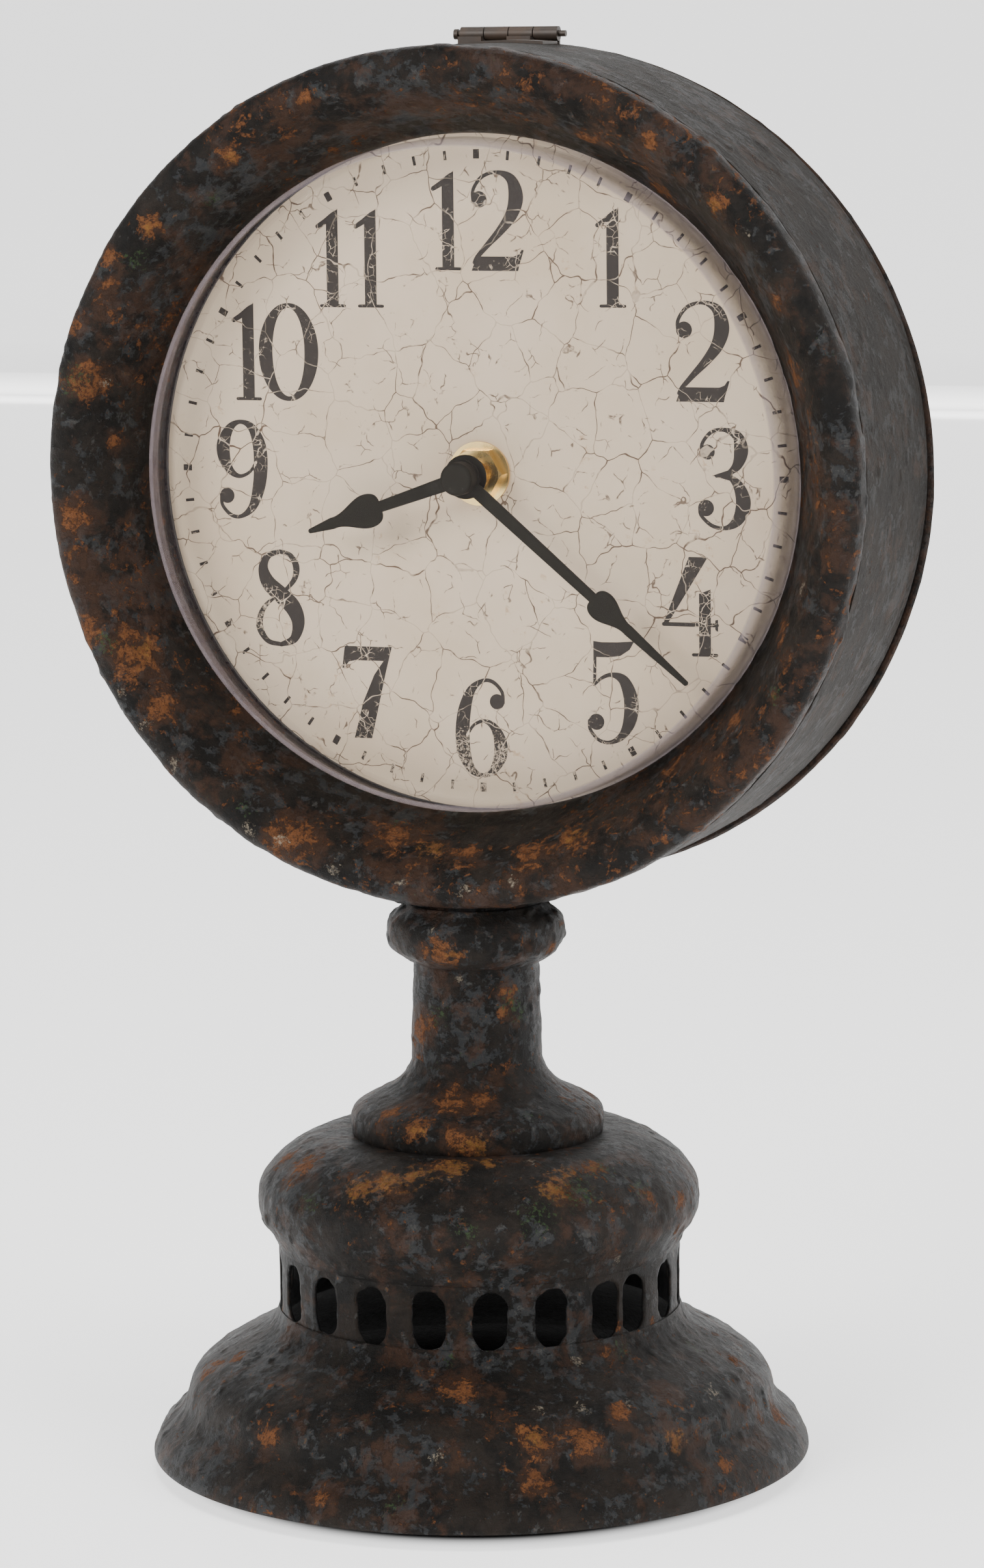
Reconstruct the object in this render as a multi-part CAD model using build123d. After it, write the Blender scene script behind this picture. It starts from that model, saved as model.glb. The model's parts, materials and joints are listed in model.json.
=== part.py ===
from build123d import *
import math
import os

# ---- driving dimensions, millimetres; +Z up, the dial faces -Y, origin at the base's centre ----
base_radius = 93.7          # foot rim of the skirt
band_radius = 57.0          # outside of the pierced band
dome_lip_radius = 62.7
neck_radius = 18.6
sheet = 1.0                 # spun sheet of the base
dial_height = 277.5         # centre of the dial above the table
drum_radius = 119.3         # outside of the drum and of the bezel
drum_sheet = 1.2
drum_front = -16.0          # seam between the drum and the bezel
drum_back = 46.0            # rear edge of the drum
bezel_crest = -23.6         # foremost line of the bezel
dial_front = 8.0            # printed face
dial_radius = 98.0
crystal_radius = 94.4
vent_count = 21
vent_pitch = 17.44          # degrees; what is left over holds the band's lap seam
vent_start = 69.3           # first vent, degrees from -Y towards +X
vent_width = 9.7
vent_height = 16.6
vent_middle = 49.5
rod_radius = 5.0            # M10 tie rod through the neck
clearance = 0.05            # radial running clearance of the small arbors
door_ajar = 1.3             # degrees, how far the back door stands open at rest
door_radius = 120.2
door_drop = 0.9             # the door hangs this far below the drum's axis
hinge_y = 48.2
hinge_z = dial_height + 121.7
hinge_x = -4.0
hinge_length = 29.6
knuckle_radius = 2.1
pin_radius = 0.9
minute_angle = 130.5        # clock angle of the minute hand, degrees from 12
hour_angle = 250.9
case_front_y = 11.4         # outside of the movement case, behind the rubber washer
case_depth = 14.8
case_half = 28.0
case_bottom = -29.0         # case limits above and below the dial centre
case_top = 27.0

os.makedirs("parts", exist_ok=True)


def save(name, shape):
    export_step(Compound(children=list(shape.solids())), f"parts/{name}.step")
    print(name, round(shape.volume))


def ring(outer, inner, low, high):
    """Washer or tube about Z from low to high."""
    body = Pos(0, 0, (low + high) / 2) * Cylinder(outer, high - low)
    if inner:
        body -= Pos(0, 0, (low + high) / 2) * Cylinder(inner, high - low + 2)
    return body


def ring_y(outer, inner, low, high, x=0.0, z=0.0):
    """The same about Y, centred x, z from the dial's centre."""
    turned = Rot(-90, 0, 0) * ring(outer, inner, low, high)
    return Pos(x, 0, dial_height + z) * turned


def block(x0, x1, y0, y1, z0, z1):
    return Pos((x0 + x1) / 2, (y0 + y1) / 2, (z0 + z1) / 2) * Box(x1 - x0, y1 - y0, z1 - z0)


def sheet_profile(points, wall, side):
    """Closed section of a sheet: a smooth line through points and its offset, wall away."""
    outer = Spline(*points)
    count = 3 * len(points)
    inside = []
    for i in range(count + 1):
        at = outer.position_at(i / count)
        along = outer.tangent_at(i / count)
        inside.append((at.X - side * wall * along.Y, at.Y + side * wall * along.X))
    inner = Spline(*inside)
    ends = [Line(outer @ 1, inner @ 1), Line(inner @ 0, outer @ 0)]
    return make_face([outer, inner] + ends)


def spun(points, wall, side=1):
    """Sheet spun about Z from an outline of (radius, height)."""
    return Rot(90, 0, 0) * revolve(sheet_profile(points, wall, side), Axis.Y)


def spun_y(points, wall, side=1):
    """Sheet spun about the dial's axis from an outline of (radius, y)."""
    return Pos(0, 0, dial_height) * revolve(sheet_profile(points, wall, side), Axis.Y)


def hexagon(across_flats, hole, low, high):
    nut = Pos(0, 0, low) * extrude(RegularPolygon(across_flats / 2, 6, major_radius=False), high - low)
    return nut - ring(hole, 0, low - 1, high + 1)


# ---- base and post ----

def base_skirt():
    outline = [(base_radius, 0.0), (93.1, 2.6), (91.6, 5.6), (89.1, 8.4), (86.4, 10.9), (84.5, 13.6),
               (83.7, 16.5), (82.9, 19.5), (81.1, 22.4), (77.4, 25.9), (72.0, 29.4), (66.0, 32.6),
               (61.2, 35.4), (58.7, 38.0), (58.0, 40.6)]
    hem = ring(base_radius - 0.3, base_radius - 4.5, 0, 1.2)
    return spun(outline, sheet) + hem - ring(band_radius, 0, 30, 60)


def vent_band():
    band = ring(band_radius, band_radius - sheet, 36.5, 62)
    slot = Rot(90, 0, 0) * extrude(SlotOverall(vent_height, vent_width, rotation=90), 12)
    for i in range(vent_count):
        turn = vent_start + i * vent_pitch
        band -= Rot(0, 0, turn) * Pos(0, -band_radius + 6, vent_middle) * slot
    return band


def base_dome():
    outline = [(58.0, 58.6), (58.3, 61.0), (59.2, 63.8), (61.2, 66.8), (62.5, 69.6),
               (dome_lip_radius, 73.0), (62.2, 77.0), (60.0, 80.8), (56.2, 84.5), (51.3, 87.8),
               (46.2, 90.0), (41.5, 91.1), (38.0, 91.3)]
    hub = ring(38.2, 32.4, 90.3, 91.3) + ring(33.4, 32.4, 90.3, 95.4)
    web = ring(33.0, rod_radius + 0.2, 94.2, 95.4)
    return spun(outline, sheet) + hub + web - ring(band_radius, 0, 50, 64)


def dome_flange():
    outline = [(35.5, 91.3), (35.9, 93.4), (35.8, 96.4), (34.9, 98.6), (32.4, 100.3), (28.8, 102.1),
               (25.0, 104.1), (22.2, 106.3), (20.4, 108.8), (19.6, 111.2)]
    return spun(outline, 1.6) - ring(neck_radius + 0.4, 0, 90, 120)


def neck_tube():
    outline = [(neck_radius + 0.4, 95.4), (neck_radius, 112.0), (neck_radius - 0.4, 126.0),
               (neck_radius - 1.0, 136.0), (neck_radius - 1.0, 146.0)]
    return spun(outline, 1.4) & ring(30, 0, 95.4, 146.0)


def collar():
    rim = Spline((17.9, 140.6), (21.0, 142.2), (24.0, 145.0), (25.0, 148.4), (24.7, 151.8),
                 (23.4, 154.6), (22.2, 156.0))
    bore = neck_radius - 1.0
    steps = Polyline((22.2, 156.0), (rod_radius + 0.2, 156.0), (rod_radius + 0.2, 146.0),
                     (bore, 146.0), (bore, 140.6), (17.9, 140.6))
    return Rot(90, 0, 0) * revolve(make_face([rim, steps]), Axis.Y) - neck_tube()


def saddle():
    side = Spline((22.2, 156.0), (19.9, 158.2), (18.4, 161.0), (18.2, 166.0))
    rest = Polyline((18.2, 166.0), (rod_radius + 0.2, 166.0), (rod_radius + 0.2, 156.0), (22.2, 156.0))
    cone = Rot(90, 0, 0) * revolve(make_face([side, rest]), Axis.Y)
    return cone - ring_y(drum_radius, 0, -60, 80)


def tie_rod():
    return ring(rod_radius, 0, 82.5, 171.5)


def lower_washer():
    return ring(14.0, rod_radius + 0.2, 92.6, 94.2)


def lower_nut():
    return hexagon(16.0, rod_radius, 84.6, 92.6)


def upper_washer():
    plate = ring(11.0, rod_radius + 0.2, 156.0, 161.8)
    return plate & ring_y(drum_radius - drum_sheet, 0, -40, 60)


def upper_nut():
    return hexagon(16.0, rod_radius, 161.8, 169.8)


# ---- drum, bezel, crystal and dial ----

def drum_shell():
    shell = ring_y(drum_radius, drum_radius - drum_sheet, drum_front, drum_back)
    lip = ring_y(drum_radius, drum_radius - 6.0, drum_back - drum_sheet, drum_back)
    return shell + lip - ring(rod_radius + 0.2, 0, 150, 165)


def bezel_ring():
    outline = [(drum_radius, drum_front), (drum_radius, -18.6), (118.6, -21.4), (116.2, -23.3),
               (113.0, bezel_crest), (109.6, -21.9), (106.2, -18.0), (102.6, -12.2),
               (99.4, -5.6), (97.0, -0.6), (95.4, 2.6), (94.9, 4.6)]
    sleeve = ring_y(drum_radius - drum_sheet - 0.05, drum_radius - 2 * drum_sheet, -19.0, -13.0)
    shaped = spun_y(outline, drum_sheet, side=-1) & ring_y(drum_radius, 0, -40, 20)
    return shaped + sleeve


def crown_arc(crown_y, edge_radius, edge_y):
    """Arc centred on the dial's axis, from the crown out to the edge."""
    rise = edge_y - crown_y
    radius = (edge_radius ** 2 + rise ** 2) / (2 * rise)
    half = math.asin(edge_radius / radius) / 2
    middle = (radius * math.sin(half), crown_y + radius * (1 - math.cos(half)))
    return ThreePointArc((0, crown_y), middle, (edge_radius, edge_y))


def crystal():
    """Clear moulded tray: low dome, nearly straight wall and a flange behind the bezel's lip."""
    edge_y, crown_y, foot_y, wall = -10.0, -19.5, 4.9, 1.8
    flange = 98.6
    shoulder, edge = crystal_radius - 0.7, crystal_radius - 2.8
    edges = [
        crown_arc(crown_y, edge, edge_y - 0.9),
        ThreePointArc((edge, edge_y - 0.9), (shoulder - 0.6, edge_y), (shoulder, edge_y + 1.6)),
        Polyline((shoulder, edge_y + 1.6), (crystal_radius, foot_y), (flange, foot_y),
                 (flange, foot_y + wall), (crystal_radius - 2, foot_y + wall),
                 (edge - 0.7, edge_y + wall - 0.8)),
        crown_arc(crown_y + wall, edge - 0.7, edge_y + wall - 0.8),
        Line((0, crown_y), (0, crown_y + wall)),
    ]
    return Pos(0, 0, dial_height) * revolve(make_face(edges), Axis.Y)


def crystal_gasket():
    return ring_y(98.6, 95.0, 6.7, dial_front)


def dial_face():
    return ring_y(dial_radius, 4.2, dial_front, dial_front + 0.4)


def dial_plate():
    return ring_y(100.0, 4.2, dial_front + 0.4, dial_front + 2.4)


def dial_brackets():
    """Four bent strips, riveted to the drum, that hold the dial plate's edge."""
    back = dial_front + 2.4
    wall = drum_radius - drum_sheet
    group = []
    for i in range(4):
        foot = block(95, wall + 1, -6, 6, back, back + 1.2)
        leg = block(wall - 1.5, wall + 1, -6, 6, back, back + 16)
        strip = (foot + leg) & ring(wall, 0, 0, 60)
        rivet = Pos(wall - 2.2, 0, back + 10) * Rot(0, 90, 0) * Cylinder(2.0, 1.8)
        turned = Rot(-90, 0, 0) * Rot(0, 0, 45 + 90 * i) * (strip + rivet)
        group += (Pos(0, 0, dial_height) * turned).solids()
    return Compound(children=group)


# ---- back door and its hinge ----

def ajar(shape):
    """Turns a door piece from closed to how it stands at rest, about the hinge pin."""
    return Pos(0, hinge_y, hinge_z) * Rot(door_ajar, 0, 0) * Pos(0, -hinge_y, -hinge_z) * shape


def knuckles(first):
    """Every second one of the hinge's four knuckles."""
    step = hinge_length / 4
    tubes = []
    for i in (first, first + 2):
        tube = Rot(0, 90, 0) * Cylinder(knuckle_radius, step - 0.3)
        middle = hinge_x - hinge_length / 2 + (i + 0.5) * step
        tubes.append(Pos(middle, hinge_y, hinge_z) * tube)
    return tubes


def hinge_bore(radius):
    return Pos(hinge_x, hinge_y, hinge_z) * Rot(0, 90, 0) * Cylinder(radius, hinge_length + 4)


def hinge_drum_leaf():
    """Leaf curved to the drum, with a short lug up to each of its knuckles."""
    half = hinge_length / 2
    band = ring_y(drum_radius + 0.8, drum_radius, 34.0, drum_back + 0.4)
    leaf = band & block(hinge_x - half, hinge_x + half, 30, 50, dial_height + 100, hinge_z + 10)
    for tube in knuckles(0):
        middle = tube.center()
        width = hinge_length / 8 - 0.15
        lug = block(middle.X - width, middle.X + width, 44.6, hinge_y - 0.6,
                    dial_height + 119.0, hinge_z - 0.6)
        leaf += tube + (lug - ring_y(drum_radius, 0, 30, 60))
    return leaf - hinge_bore(pin_radius)


def hinge_door_leaf():
    half = hinge_length / 2
    door_back = drum_back + 2.5
    leaf = block(hinge_x - half, hinge_x + half, door_back, door_back + 0.8,
                 dial_height + 107, dial_height + 118.2)
    for tube in knuckles(1):
        width = hinge_length / 8 - 0.15
        middle = tube.center().X
        lug = block(middle - width, middle + width, door_back, door_back + 0.8,
                    dial_height + 118, hinge_z)
        leaf += tube + lug
    return ajar(leaf - hinge_bore(pin_radius + clearance))


def hinge_pin():
    pin = hinge_bore(pin_radius) & block(-60, 60, 40, 56, hinge_z - 5, hinge_z + 5)
    head = Pos(hinge_x - hinge_length / 2 - 1.4, hinge_y, hinge_z) * Rot(0, 90, 0) * Cylinder(1.5, 1.2)
    return pin + head


def back_door():
    """Flat panel with a beaded rim; it hangs a little low and stands a little open."""
    middle = Pos(0, 0, -door_drop)
    panel = middle * ring_y(door_radius - 1.2, 0, drum_back + 1.3, drum_back + 2.5)
    bead = Pos(0, 0, dial_height - door_drop) * Rot(-90, 0, 0) * Pos(0, 0, drum_back + 1.4) * \
        Torus(door_radius - 1.1, 1.1)
    dish = middle * ring_y(84, 81, drum_back + 2.5, drum_back + 3.1)
    return ajar(panel + bead + dish)


def catch_magnet():
    return block(-9, 9, 36.8, drum_back - drum_sheet, dial_height - 117.0, dial_height - 108.0)


def strike_plate():
    plate = block(-11, 11, drum_back + 0.3, drum_back + 1.3, dial_height - 112.0, dial_height - 104.0)
    return ajar(plate)


def door_knob():
    """Turned knob on a short stem, near the door's lower edge."""
    low = drum_back + 2.5
    side = Spline((2.6, low + 2.4), (5.2, low + 4.6), (6.0, low + 7.6), (4.2, low + 10.4), (0, low + 11.4))
    rest = Polyline((0, low + 11.4), (0, low), (4.4, low), (4.2, low + 1.2), (2.6, low + 2.4))
    return ajar(Pos(0, 0, dial_height - 98) * revolve(make_face([side, rest]), Axis.Y))


# ---- movement ----

wheel_module = 0.3
fine_module = 0.25
motion_module = 0.384


def polar(origin, distance, degrees):
    turn = math.radians(degrees)
    return (origin[0] + distance * math.cos(turn), origin[1] + distance * math.sin(turn))


def spacing(teeth_a, teeth_b, module):
    return (teeth_a + teeth_b) * module / 2


# arbor places, x and z from the dial's centre, and the directions between mating arbors
centre = (0.0, 0.0)
third_dir, seconds_dir, middle_dir, rotor_dir = 45.0, 160.0, 60.0, 0.0
motion_dir, knob_dir = 190.0, 110.0
third = polar(centre, spacing(64, 8, wheel_module), third_dir)
seconds = polar(third, spacing(60, 8, wheel_module), seconds_dir)
middle = polar(seconds, spacing(60, 10, fine_module), middle_dir)
rotor_at = polar(middle, spacing(50, 10, fine_module), rotor_dir)
motion_gap = spacing(12, 36, motion_module)
pinion_module = motion_gap / spacing(10, 40, 1)     # keeps both pairs on the same arbors
motion = polar(centre, motion_gap, motion_dir)
knob_at = polar(motion, spacing(36, 18, motion_module), knob_dir)


def gear(teeth, module, phase, low, high, at, bore=0.0):
    """Thin-flanked gear; a tooth's middle stands at phase degrees."""
    pitch = 360 / teeth
    tip = teeth * module / 2 + 0.8 * module
    root = teeth * module / 2 - 1.15 * module
    outline = []
    for i in range(teeth):
        mid = phase + i * pitch
        for radius, part in ((root, -0.29), (tip, -0.09), (tip, 0.09), (root, 0.29)):
            outline.append(polar((0, 0), radius, mid + part * pitch))
    flat = make_face(Polyline(*outline, close=True))
    body = Rot(90, 0, 0) * extrude(flat, high - low)
    body = Pos(at[0], high, dial_height + at[1]) * body
    return body - ring_y(bore, 0, low - 1, high + 1, *at) if bore else body


def mate_phase(phase, teeth, direction, mate_teeth):
    """Phase that puts a gap of the mate over the tooth beside the line of centres."""
    part = ((direction - phase) % (360 / teeth)) / (360 / teeth)
    return direction + 180 + (part + 0.5) * 360 / mate_teeth


front_in = case_front_y + 1.6        # inside of the case front
back_in = case_front_y + case_depth  # inside of the case back


def depth(value):
    return front_in + value


def arbor(radius, low, high, at):
    return ring_y(radius, 0, low, high, *at)


minute_phase = 0.0
motion_phase = mate_phase(minute_phase, 12, motion_dir, 36)
knob_phase = mate_phase(motion_phase, 36, knob_dir, 18)
small_phase = 0.0                    # pinion of the motion wheel
hour_phase = mate_phase(small_phase, 10, motion_dir - 180, 40)
centre_phase = 0.0
third_pinion_phase = mate_phase(centre_phase, 64, third_dir, 8)
third_phase = 0.0
seconds_pinion_phase = mate_phase(third_phase, 60, seconds_dir, 8)
seconds_phase = 0.0
middle_pinion_phase = mate_phase(seconds_phase, 60, middle_dir, 10)
middle_phase = 0.0
rotor_phase = mate_phase(middle_phase, 50, rotor_dir, 10)
pivot = 0.6                          # radius of the small pivots
post_radius = 1.0


def train_wheel(wheel, pinion, at):
    """Wheel and pinion on one arbor with a pivot at each end."""
    body = arbor(post_radius, depth(0.2), back_in - 0.2, at)
    body += arbor(pivot, front_in - 0.9, back_in + 0.7, at)
    return body + wheel + pinion


def third_wheel():
    wheel = gear(60, wheel_module, third_phase, depth(8.0), depth(8.8), third)
    pinion = gear(8, wheel_module, third_pinion_phase, depth(4.4), depth(8.0), third)
    return train_wheel(wheel, pinion, third)


def seconds_wheel():
    wheel = gear(60, fine_module, seconds_phase, depth(10.4), depth(11.2), seconds)
    pinion = gear(8, wheel_module, seconds_pinion_phase, depth(7.4), depth(10.4), seconds)
    return train_wheel(wheel, pinion, seconds)


def intermediate_wheel():
    wheel = gear(50, fine_module, middle_phase, depth(2.6), depth(3.4), middle)
    pinion = gear(10, fine_module, middle_pinion_phase, depth(9.9), depth(11.7), middle)
    return train_wheel(wheel, pinion, middle)


def rotor():
    pinion = gear(10, fine_module, rotor_phase, depth(2.0), depth(4.2), rotor_at)
    magnet = ring_y(3.0, 0, depth(4.4), depth(7.4), *rotor_at)
    return train_wheel(magnet, pinion, rotor_at)


def centre_wheel():
    """Runs free on the minute arbor; a friction clutch joins them on the real thing."""
    wheel = gear(64, wheel_module, centre_phase, depth(5.2), depth(6.0), centre)
    boss = ring_y(3.0, 0, depth(5.2), depth(7.2), *centre)
    return wheel + boss - ring_y(1.7 + clearance, 0, depth(5), depth(8), *centre)


def minute_arbor():
    pinion = gear(12, motion_module, minute_phase, depth(2.6), depth(4.8), centre)
    stem = ring_y(1.7, 0, -6.0, depth(7.4)) + ring_y(1.2, 0, depth(7.4), back_in - 0.2)
    spigot = ring_y(1.3, 0, -9.6, -6.0) + ring_y(1.0, 0, back_in - 0.3, back_in + 0.7)
    return pinion + stem + spigot


def motion_wheel():
    wheel = gear(36, motion_module, motion_phase, depth(3.0), depth(4.0), motion)
    pinion = gear(10, pinion_module, small_phase, depth(0.5), depth(3.0), motion)
    body = wheel + pinion + arbor(post_radius, depth(0.2), depth(4.7), motion)
    return body + arbor(pivot, front_in - 0.9, depth(4.7), motion)


def hour_wheel():
    """Wheel with the long pipe that carries the hour hand through the bush."""
    wheel = gear(40, pinion_module, hour_phase, depth(1.0), depth(2.0), centre)
    pipe = ring_y(2.7, 0, -4.4, depth(2.2))
    return wheel + pipe - ring_y(1.7 + clearance, 0, -8, depth(4), *centre)


def setting_knob():
    """Hand-setting knob behind the case, on an arbor with a gear inside."""
    wheel = gear(18, motion_module, knob_phase, depth(2.9), depth(4.1), knob_at)
    stem = arbor(1.4, depth(0.2), back_in + 2.2, knob_at)
    grip = gear(24, 0.5, 0.0, back_in + 1.7, back_in + 6.7, knob_at)
    return wheel + stem + grip + arbor(pivot, front_in - 0.9, depth(1.0), knob_at)


def case_front():
    """Tray of the movement, with the battery bay below a shelf."""
    high, low = dial_height + case_top, dial_height + case_bottom
    tray = block(-case_half, case_half, case_front_y, back_in, low, high)
    room = block(-case_half + 1.5, case_half - 1.5, front_in, back_in + 1,
                 dial_height - 10.4, high - 1.5)
    bay = block(-case_half + 1.5, case_half - 1.5, front_in, back_in + 1,
                low + 1.2, dial_height - 11.6)
    tray = tray - room - bay - ring_y(4.0, 0, 0, 20)
    for at in (third, seconds, middle, rotor_at, motion, knob_at):
        tray -= ring_y(pivot + clearance, 0, front_in - 1.1, front_in + 1, *at)
    return tray


def case_back():
    """Cover over the train; the battery bay below it stays open."""
    high = dial_height + case_top
    cover = block(-case_half, case_half, back_in, back_in + 1.5, dial_height - 11.0, high)
    rim = block(-case_half + 4, case_half - 4, back_in + 1.5, back_in + 2.1,
                dial_height - 7.0, high - 4)
    cover = cover + (rim - block(-case_half + 5, case_half - 5, back_in, back_in + 3,
                                 dial_height - 6.0, high - 5))
    for at in (third, seconds, middle, rotor_at):
        cover -= ring_y(pivot + clearance, 0, back_in - 1, back_in + 0.9, *at)
    cover -= ring_y(1.0 + clearance, 0, back_in - 1, back_in + 0.9)
    return cover - ring_y(1.4 + 0.1, 0, back_in - 1, back_in + 4, *knob_at)


def threaded_bush():
    """Brass bush that fixes the movement; its thread is drawn as fine rings."""
    tube = ring_y(3.95, 0, 1.4, front_in)
    flange = ring_y(3.3, 0, front_in, front_in + 0.4)
    for i in range(5):
        groove = 1.9 + 1.1 * i
        tube -= ring_y(6, 3.65, groove, groove + 0.5)
    return tube + flange - ring_y(2.7 + clearance, 0, 0, 30)


def hex_nut():
    nut = Rot(-90, 0, 0) * hexagon(13.4, 4.0, 3.8, 7.0)
    chamfer = Pos(0, 0, dial_height) * Rot(-90, 0, 0) * Pos(0, 0, 5.4) * \
        Cone(9.4, 7.0, 3.2, rotation=(180, 0, 0))
    return (Pos(0, 0, dial_height) * nut) & chamfer


def brass_washer():
    return ring_y(9.0, 4.05, 7.0, dial_front)


def rubber_washer():
    return ring_y(8.0, 4.05, dial_front + 2.4, case_front_y)


def circuit_board():
    board = block(9, 24, depth(0.4), depth(1.4), dial_height - 9.6, dial_height - 1.4)
    blob = ring_y(2.4, 0, depth(1.4), depth(2.2), 13, -5.4)
    can = Pos(20, depth(2.4), dial_height - 5.4) * Rot(0, 90, 0) * Cylinder(1.0, 6)
    return board + blob + can


def coil():
    """Winding with its two end flanges, on the stator's long limb."""
    x, high, low = 21.6, dial_height + 22.5, dial_height + 2.5
    winding = Pos(x, depth(6.0), (high + low) / 2) * Cylinder(3.6, high - low - 2)
    ends = [Pos(x, depth(6.0), z) * Box(8.6, 8.6, 1.0) for z in (low + 0.5, high - 0.5)]
    return winding + ends[0] + ends[1] - block(x - 1.1, x + 1.1, depth(5.4), depth(6.6), low - 1, high + 1)


def stator():
    """Flat steel loop: one limb through the coil and one cheek round the rotor's magnet."""
    x = 21.6
    y0, y1 = depth(5.5), depth(6.5)
    limb = block(x - 1.0, x + 1.0, y0, y1, dial_height + 0.6, dial_height + 24.6)
    top = block(rotor_at[0] - 3, x, y0, y1, dial_height + 22.8, dial_height + 24.6)
    cheek = ring_y(5.0, 0, y0, y1, *rotor_at)
    return limb + top + cheek - ring_y(3.5, 0, y0 - 1, y1 + 1, *rotor_at)


bay_middle = (case_bottom + 1.2 - 11.6) / 2
battery_y = front_in + 7.6
battery_radius = 7.25


def along_x(radius, x0, x1):
    place = Pos((x0 + x1) / 2, battery_y, dial_height + bay_middle)
    return place * Rot(0, 90, 0) * Cylinder(radius, x1 - x0)


def battery():
    """AA cell with its raised positive cap."""
    return along_x(battery_radius, -23.6, 23.8) + along_x(2.6, 23.8, 25.0)


def contact_positive():
    low = dial_height + bay_middle
    plate = block(25.4, 26.4, front_in + 1, back_in - 1, low - 5, low + 5)
    return plate


def contact_negative():
    """Plate with a spring of rings that narrow towards the cell."""
    low = dial_height + bay_middle
    plate = block(-26.4, -25.8, front_in + 1, back_in - 1, low - 5, low + 5)
    for i in range(3):
        start = -25.8 + 0.6 * i
        plate += along_x(4.6 - 0.9 * i, start, start + 0.6) - along_x(3.6 - 0.9 * i, start - 1, start + 2)
    return plate


# ---- hands ----

def clock_turn(shape, angle):
    """Lays a shape drawn pointing up, in (x, z), at a clock angle on the dial."""
    return Pos(0, 0, dial_height) * Rot(0, angle, 0) * shape


def hand(length, hub, hole, root_width, bulb_start, bulb_width, front, back):
    """Flat hand: round hub, narrowing stem, spade bulb with shoulders, long thin point."""
    neck = root_width * 0.36
    tip = 0.7
    bulge = [(neck, bulb_start), (bulb_width * 0.40, bulb_start + bulb_width * 0.10),
             (bulb_width * 0.50, bulb_start + bulb_width * 0.42),
             (bulb_width * 0.34, bulb_start + bulb_width * 0.95),
             (neck * 1.05, bulb_start + bulb_width * 1.6)]
    sides = []
    for turn in (1, -1):
        curve = [(turn * x, z) for x, z in bulge]
        sides += [Line((turn * root_width / 2, 0), curve[0]), Spline(*curve),
                  Line(curve[-1], (turn * tip, length - tip))]
    ends = [ThreePointArc((tip, length - tip), (0, length), (-tip, length - tip)),
            Line((-root_width / 2, 0), (root_width / 2, 0))]
    flat = Circle(hub) + make_face(sides + ends)
    solid = Rot(90, 0, 0) * extrude(flat, back - front)
    return Pos(0, back, 0) * solid - Rot(-90, 0, 0) * ring(hole, 0, front - 1, back + 1)


def hour_hand():
    boss = Rot(-90, 0, 0) * ring(4.6, 2.7, -3.4, -1.2)
    flat = hand(50.0, 6.2, 2.7, 4.4, 27.0, 9.6, -4.0, -3.4)
    return clock_turn(flat + boss, hour_angle)


def minute_hand():
    boss = Rot(-90, 0, 0) * ring(3.4, 1.7, -6.0, -5.0)
    flat = hand(86.0, 5.2, 1.3, 4.0, 50.0, 8.4, -6.6, -6.0)
    return clock_turn(flat + boss, minute_angle)


def cap_nut():
    """Closed cap with a round shoulder over the end of the minute arbor."""
    face, base_y, radius = -12.0, -6.6, 4.65
    side = [Line((0, face), (radius - 1.0, face)),
            ThreePointArc((radius - 1.0, face), (radius - 0.3, face + 0.3), (radius, face + 1.0)),
            Line((radius, face + 1.0), (radius, base_y)),
            Line((radius, base_y), (0, base_y)), Line((0, base_y), (0, face))]
    cap = Pos(0, 0, dial_height) * revolve(make_face(side), Axis.Y)
    return cap - ring_y(1.3, 0, -9.6, 0)


pieces = [base_skirt, vent_band, base_dome, dome_flange, neck_tube, collar, saddle, tie_rod,
          lower_washer, lower_nut, upper_washer, upper_nut, drum_shell, bezel_ring, crystal,
          crystal_gasket, dial_face, dial_plate, dial_brackets, back_door, hinge_drum_leaf,
          hinge_door_leaf, hinge_pin, catch_magnet, strike_plate, door_knob, case_front,
          case_back, threaded_bush, hex_nut, brass_washer, rubber_washer, circuit_board, coil,
          stator, rotor, intermediate_wheel, seconds_wheel, third_wheel, centre_wheel,
          minute_arbor, motion_wheel, hour_wheel, setting_knob, battery, contact_positive,
          contact_negative, hour_hand, minute_hand, cap_nut]

for piece in pieces:
    save(piece.__name__, piece())
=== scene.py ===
import json
import math

import bpy
import numpy as np
from mathutils import Matrix, Vector
from mathutils.geometry import tessellate_polygon

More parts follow.
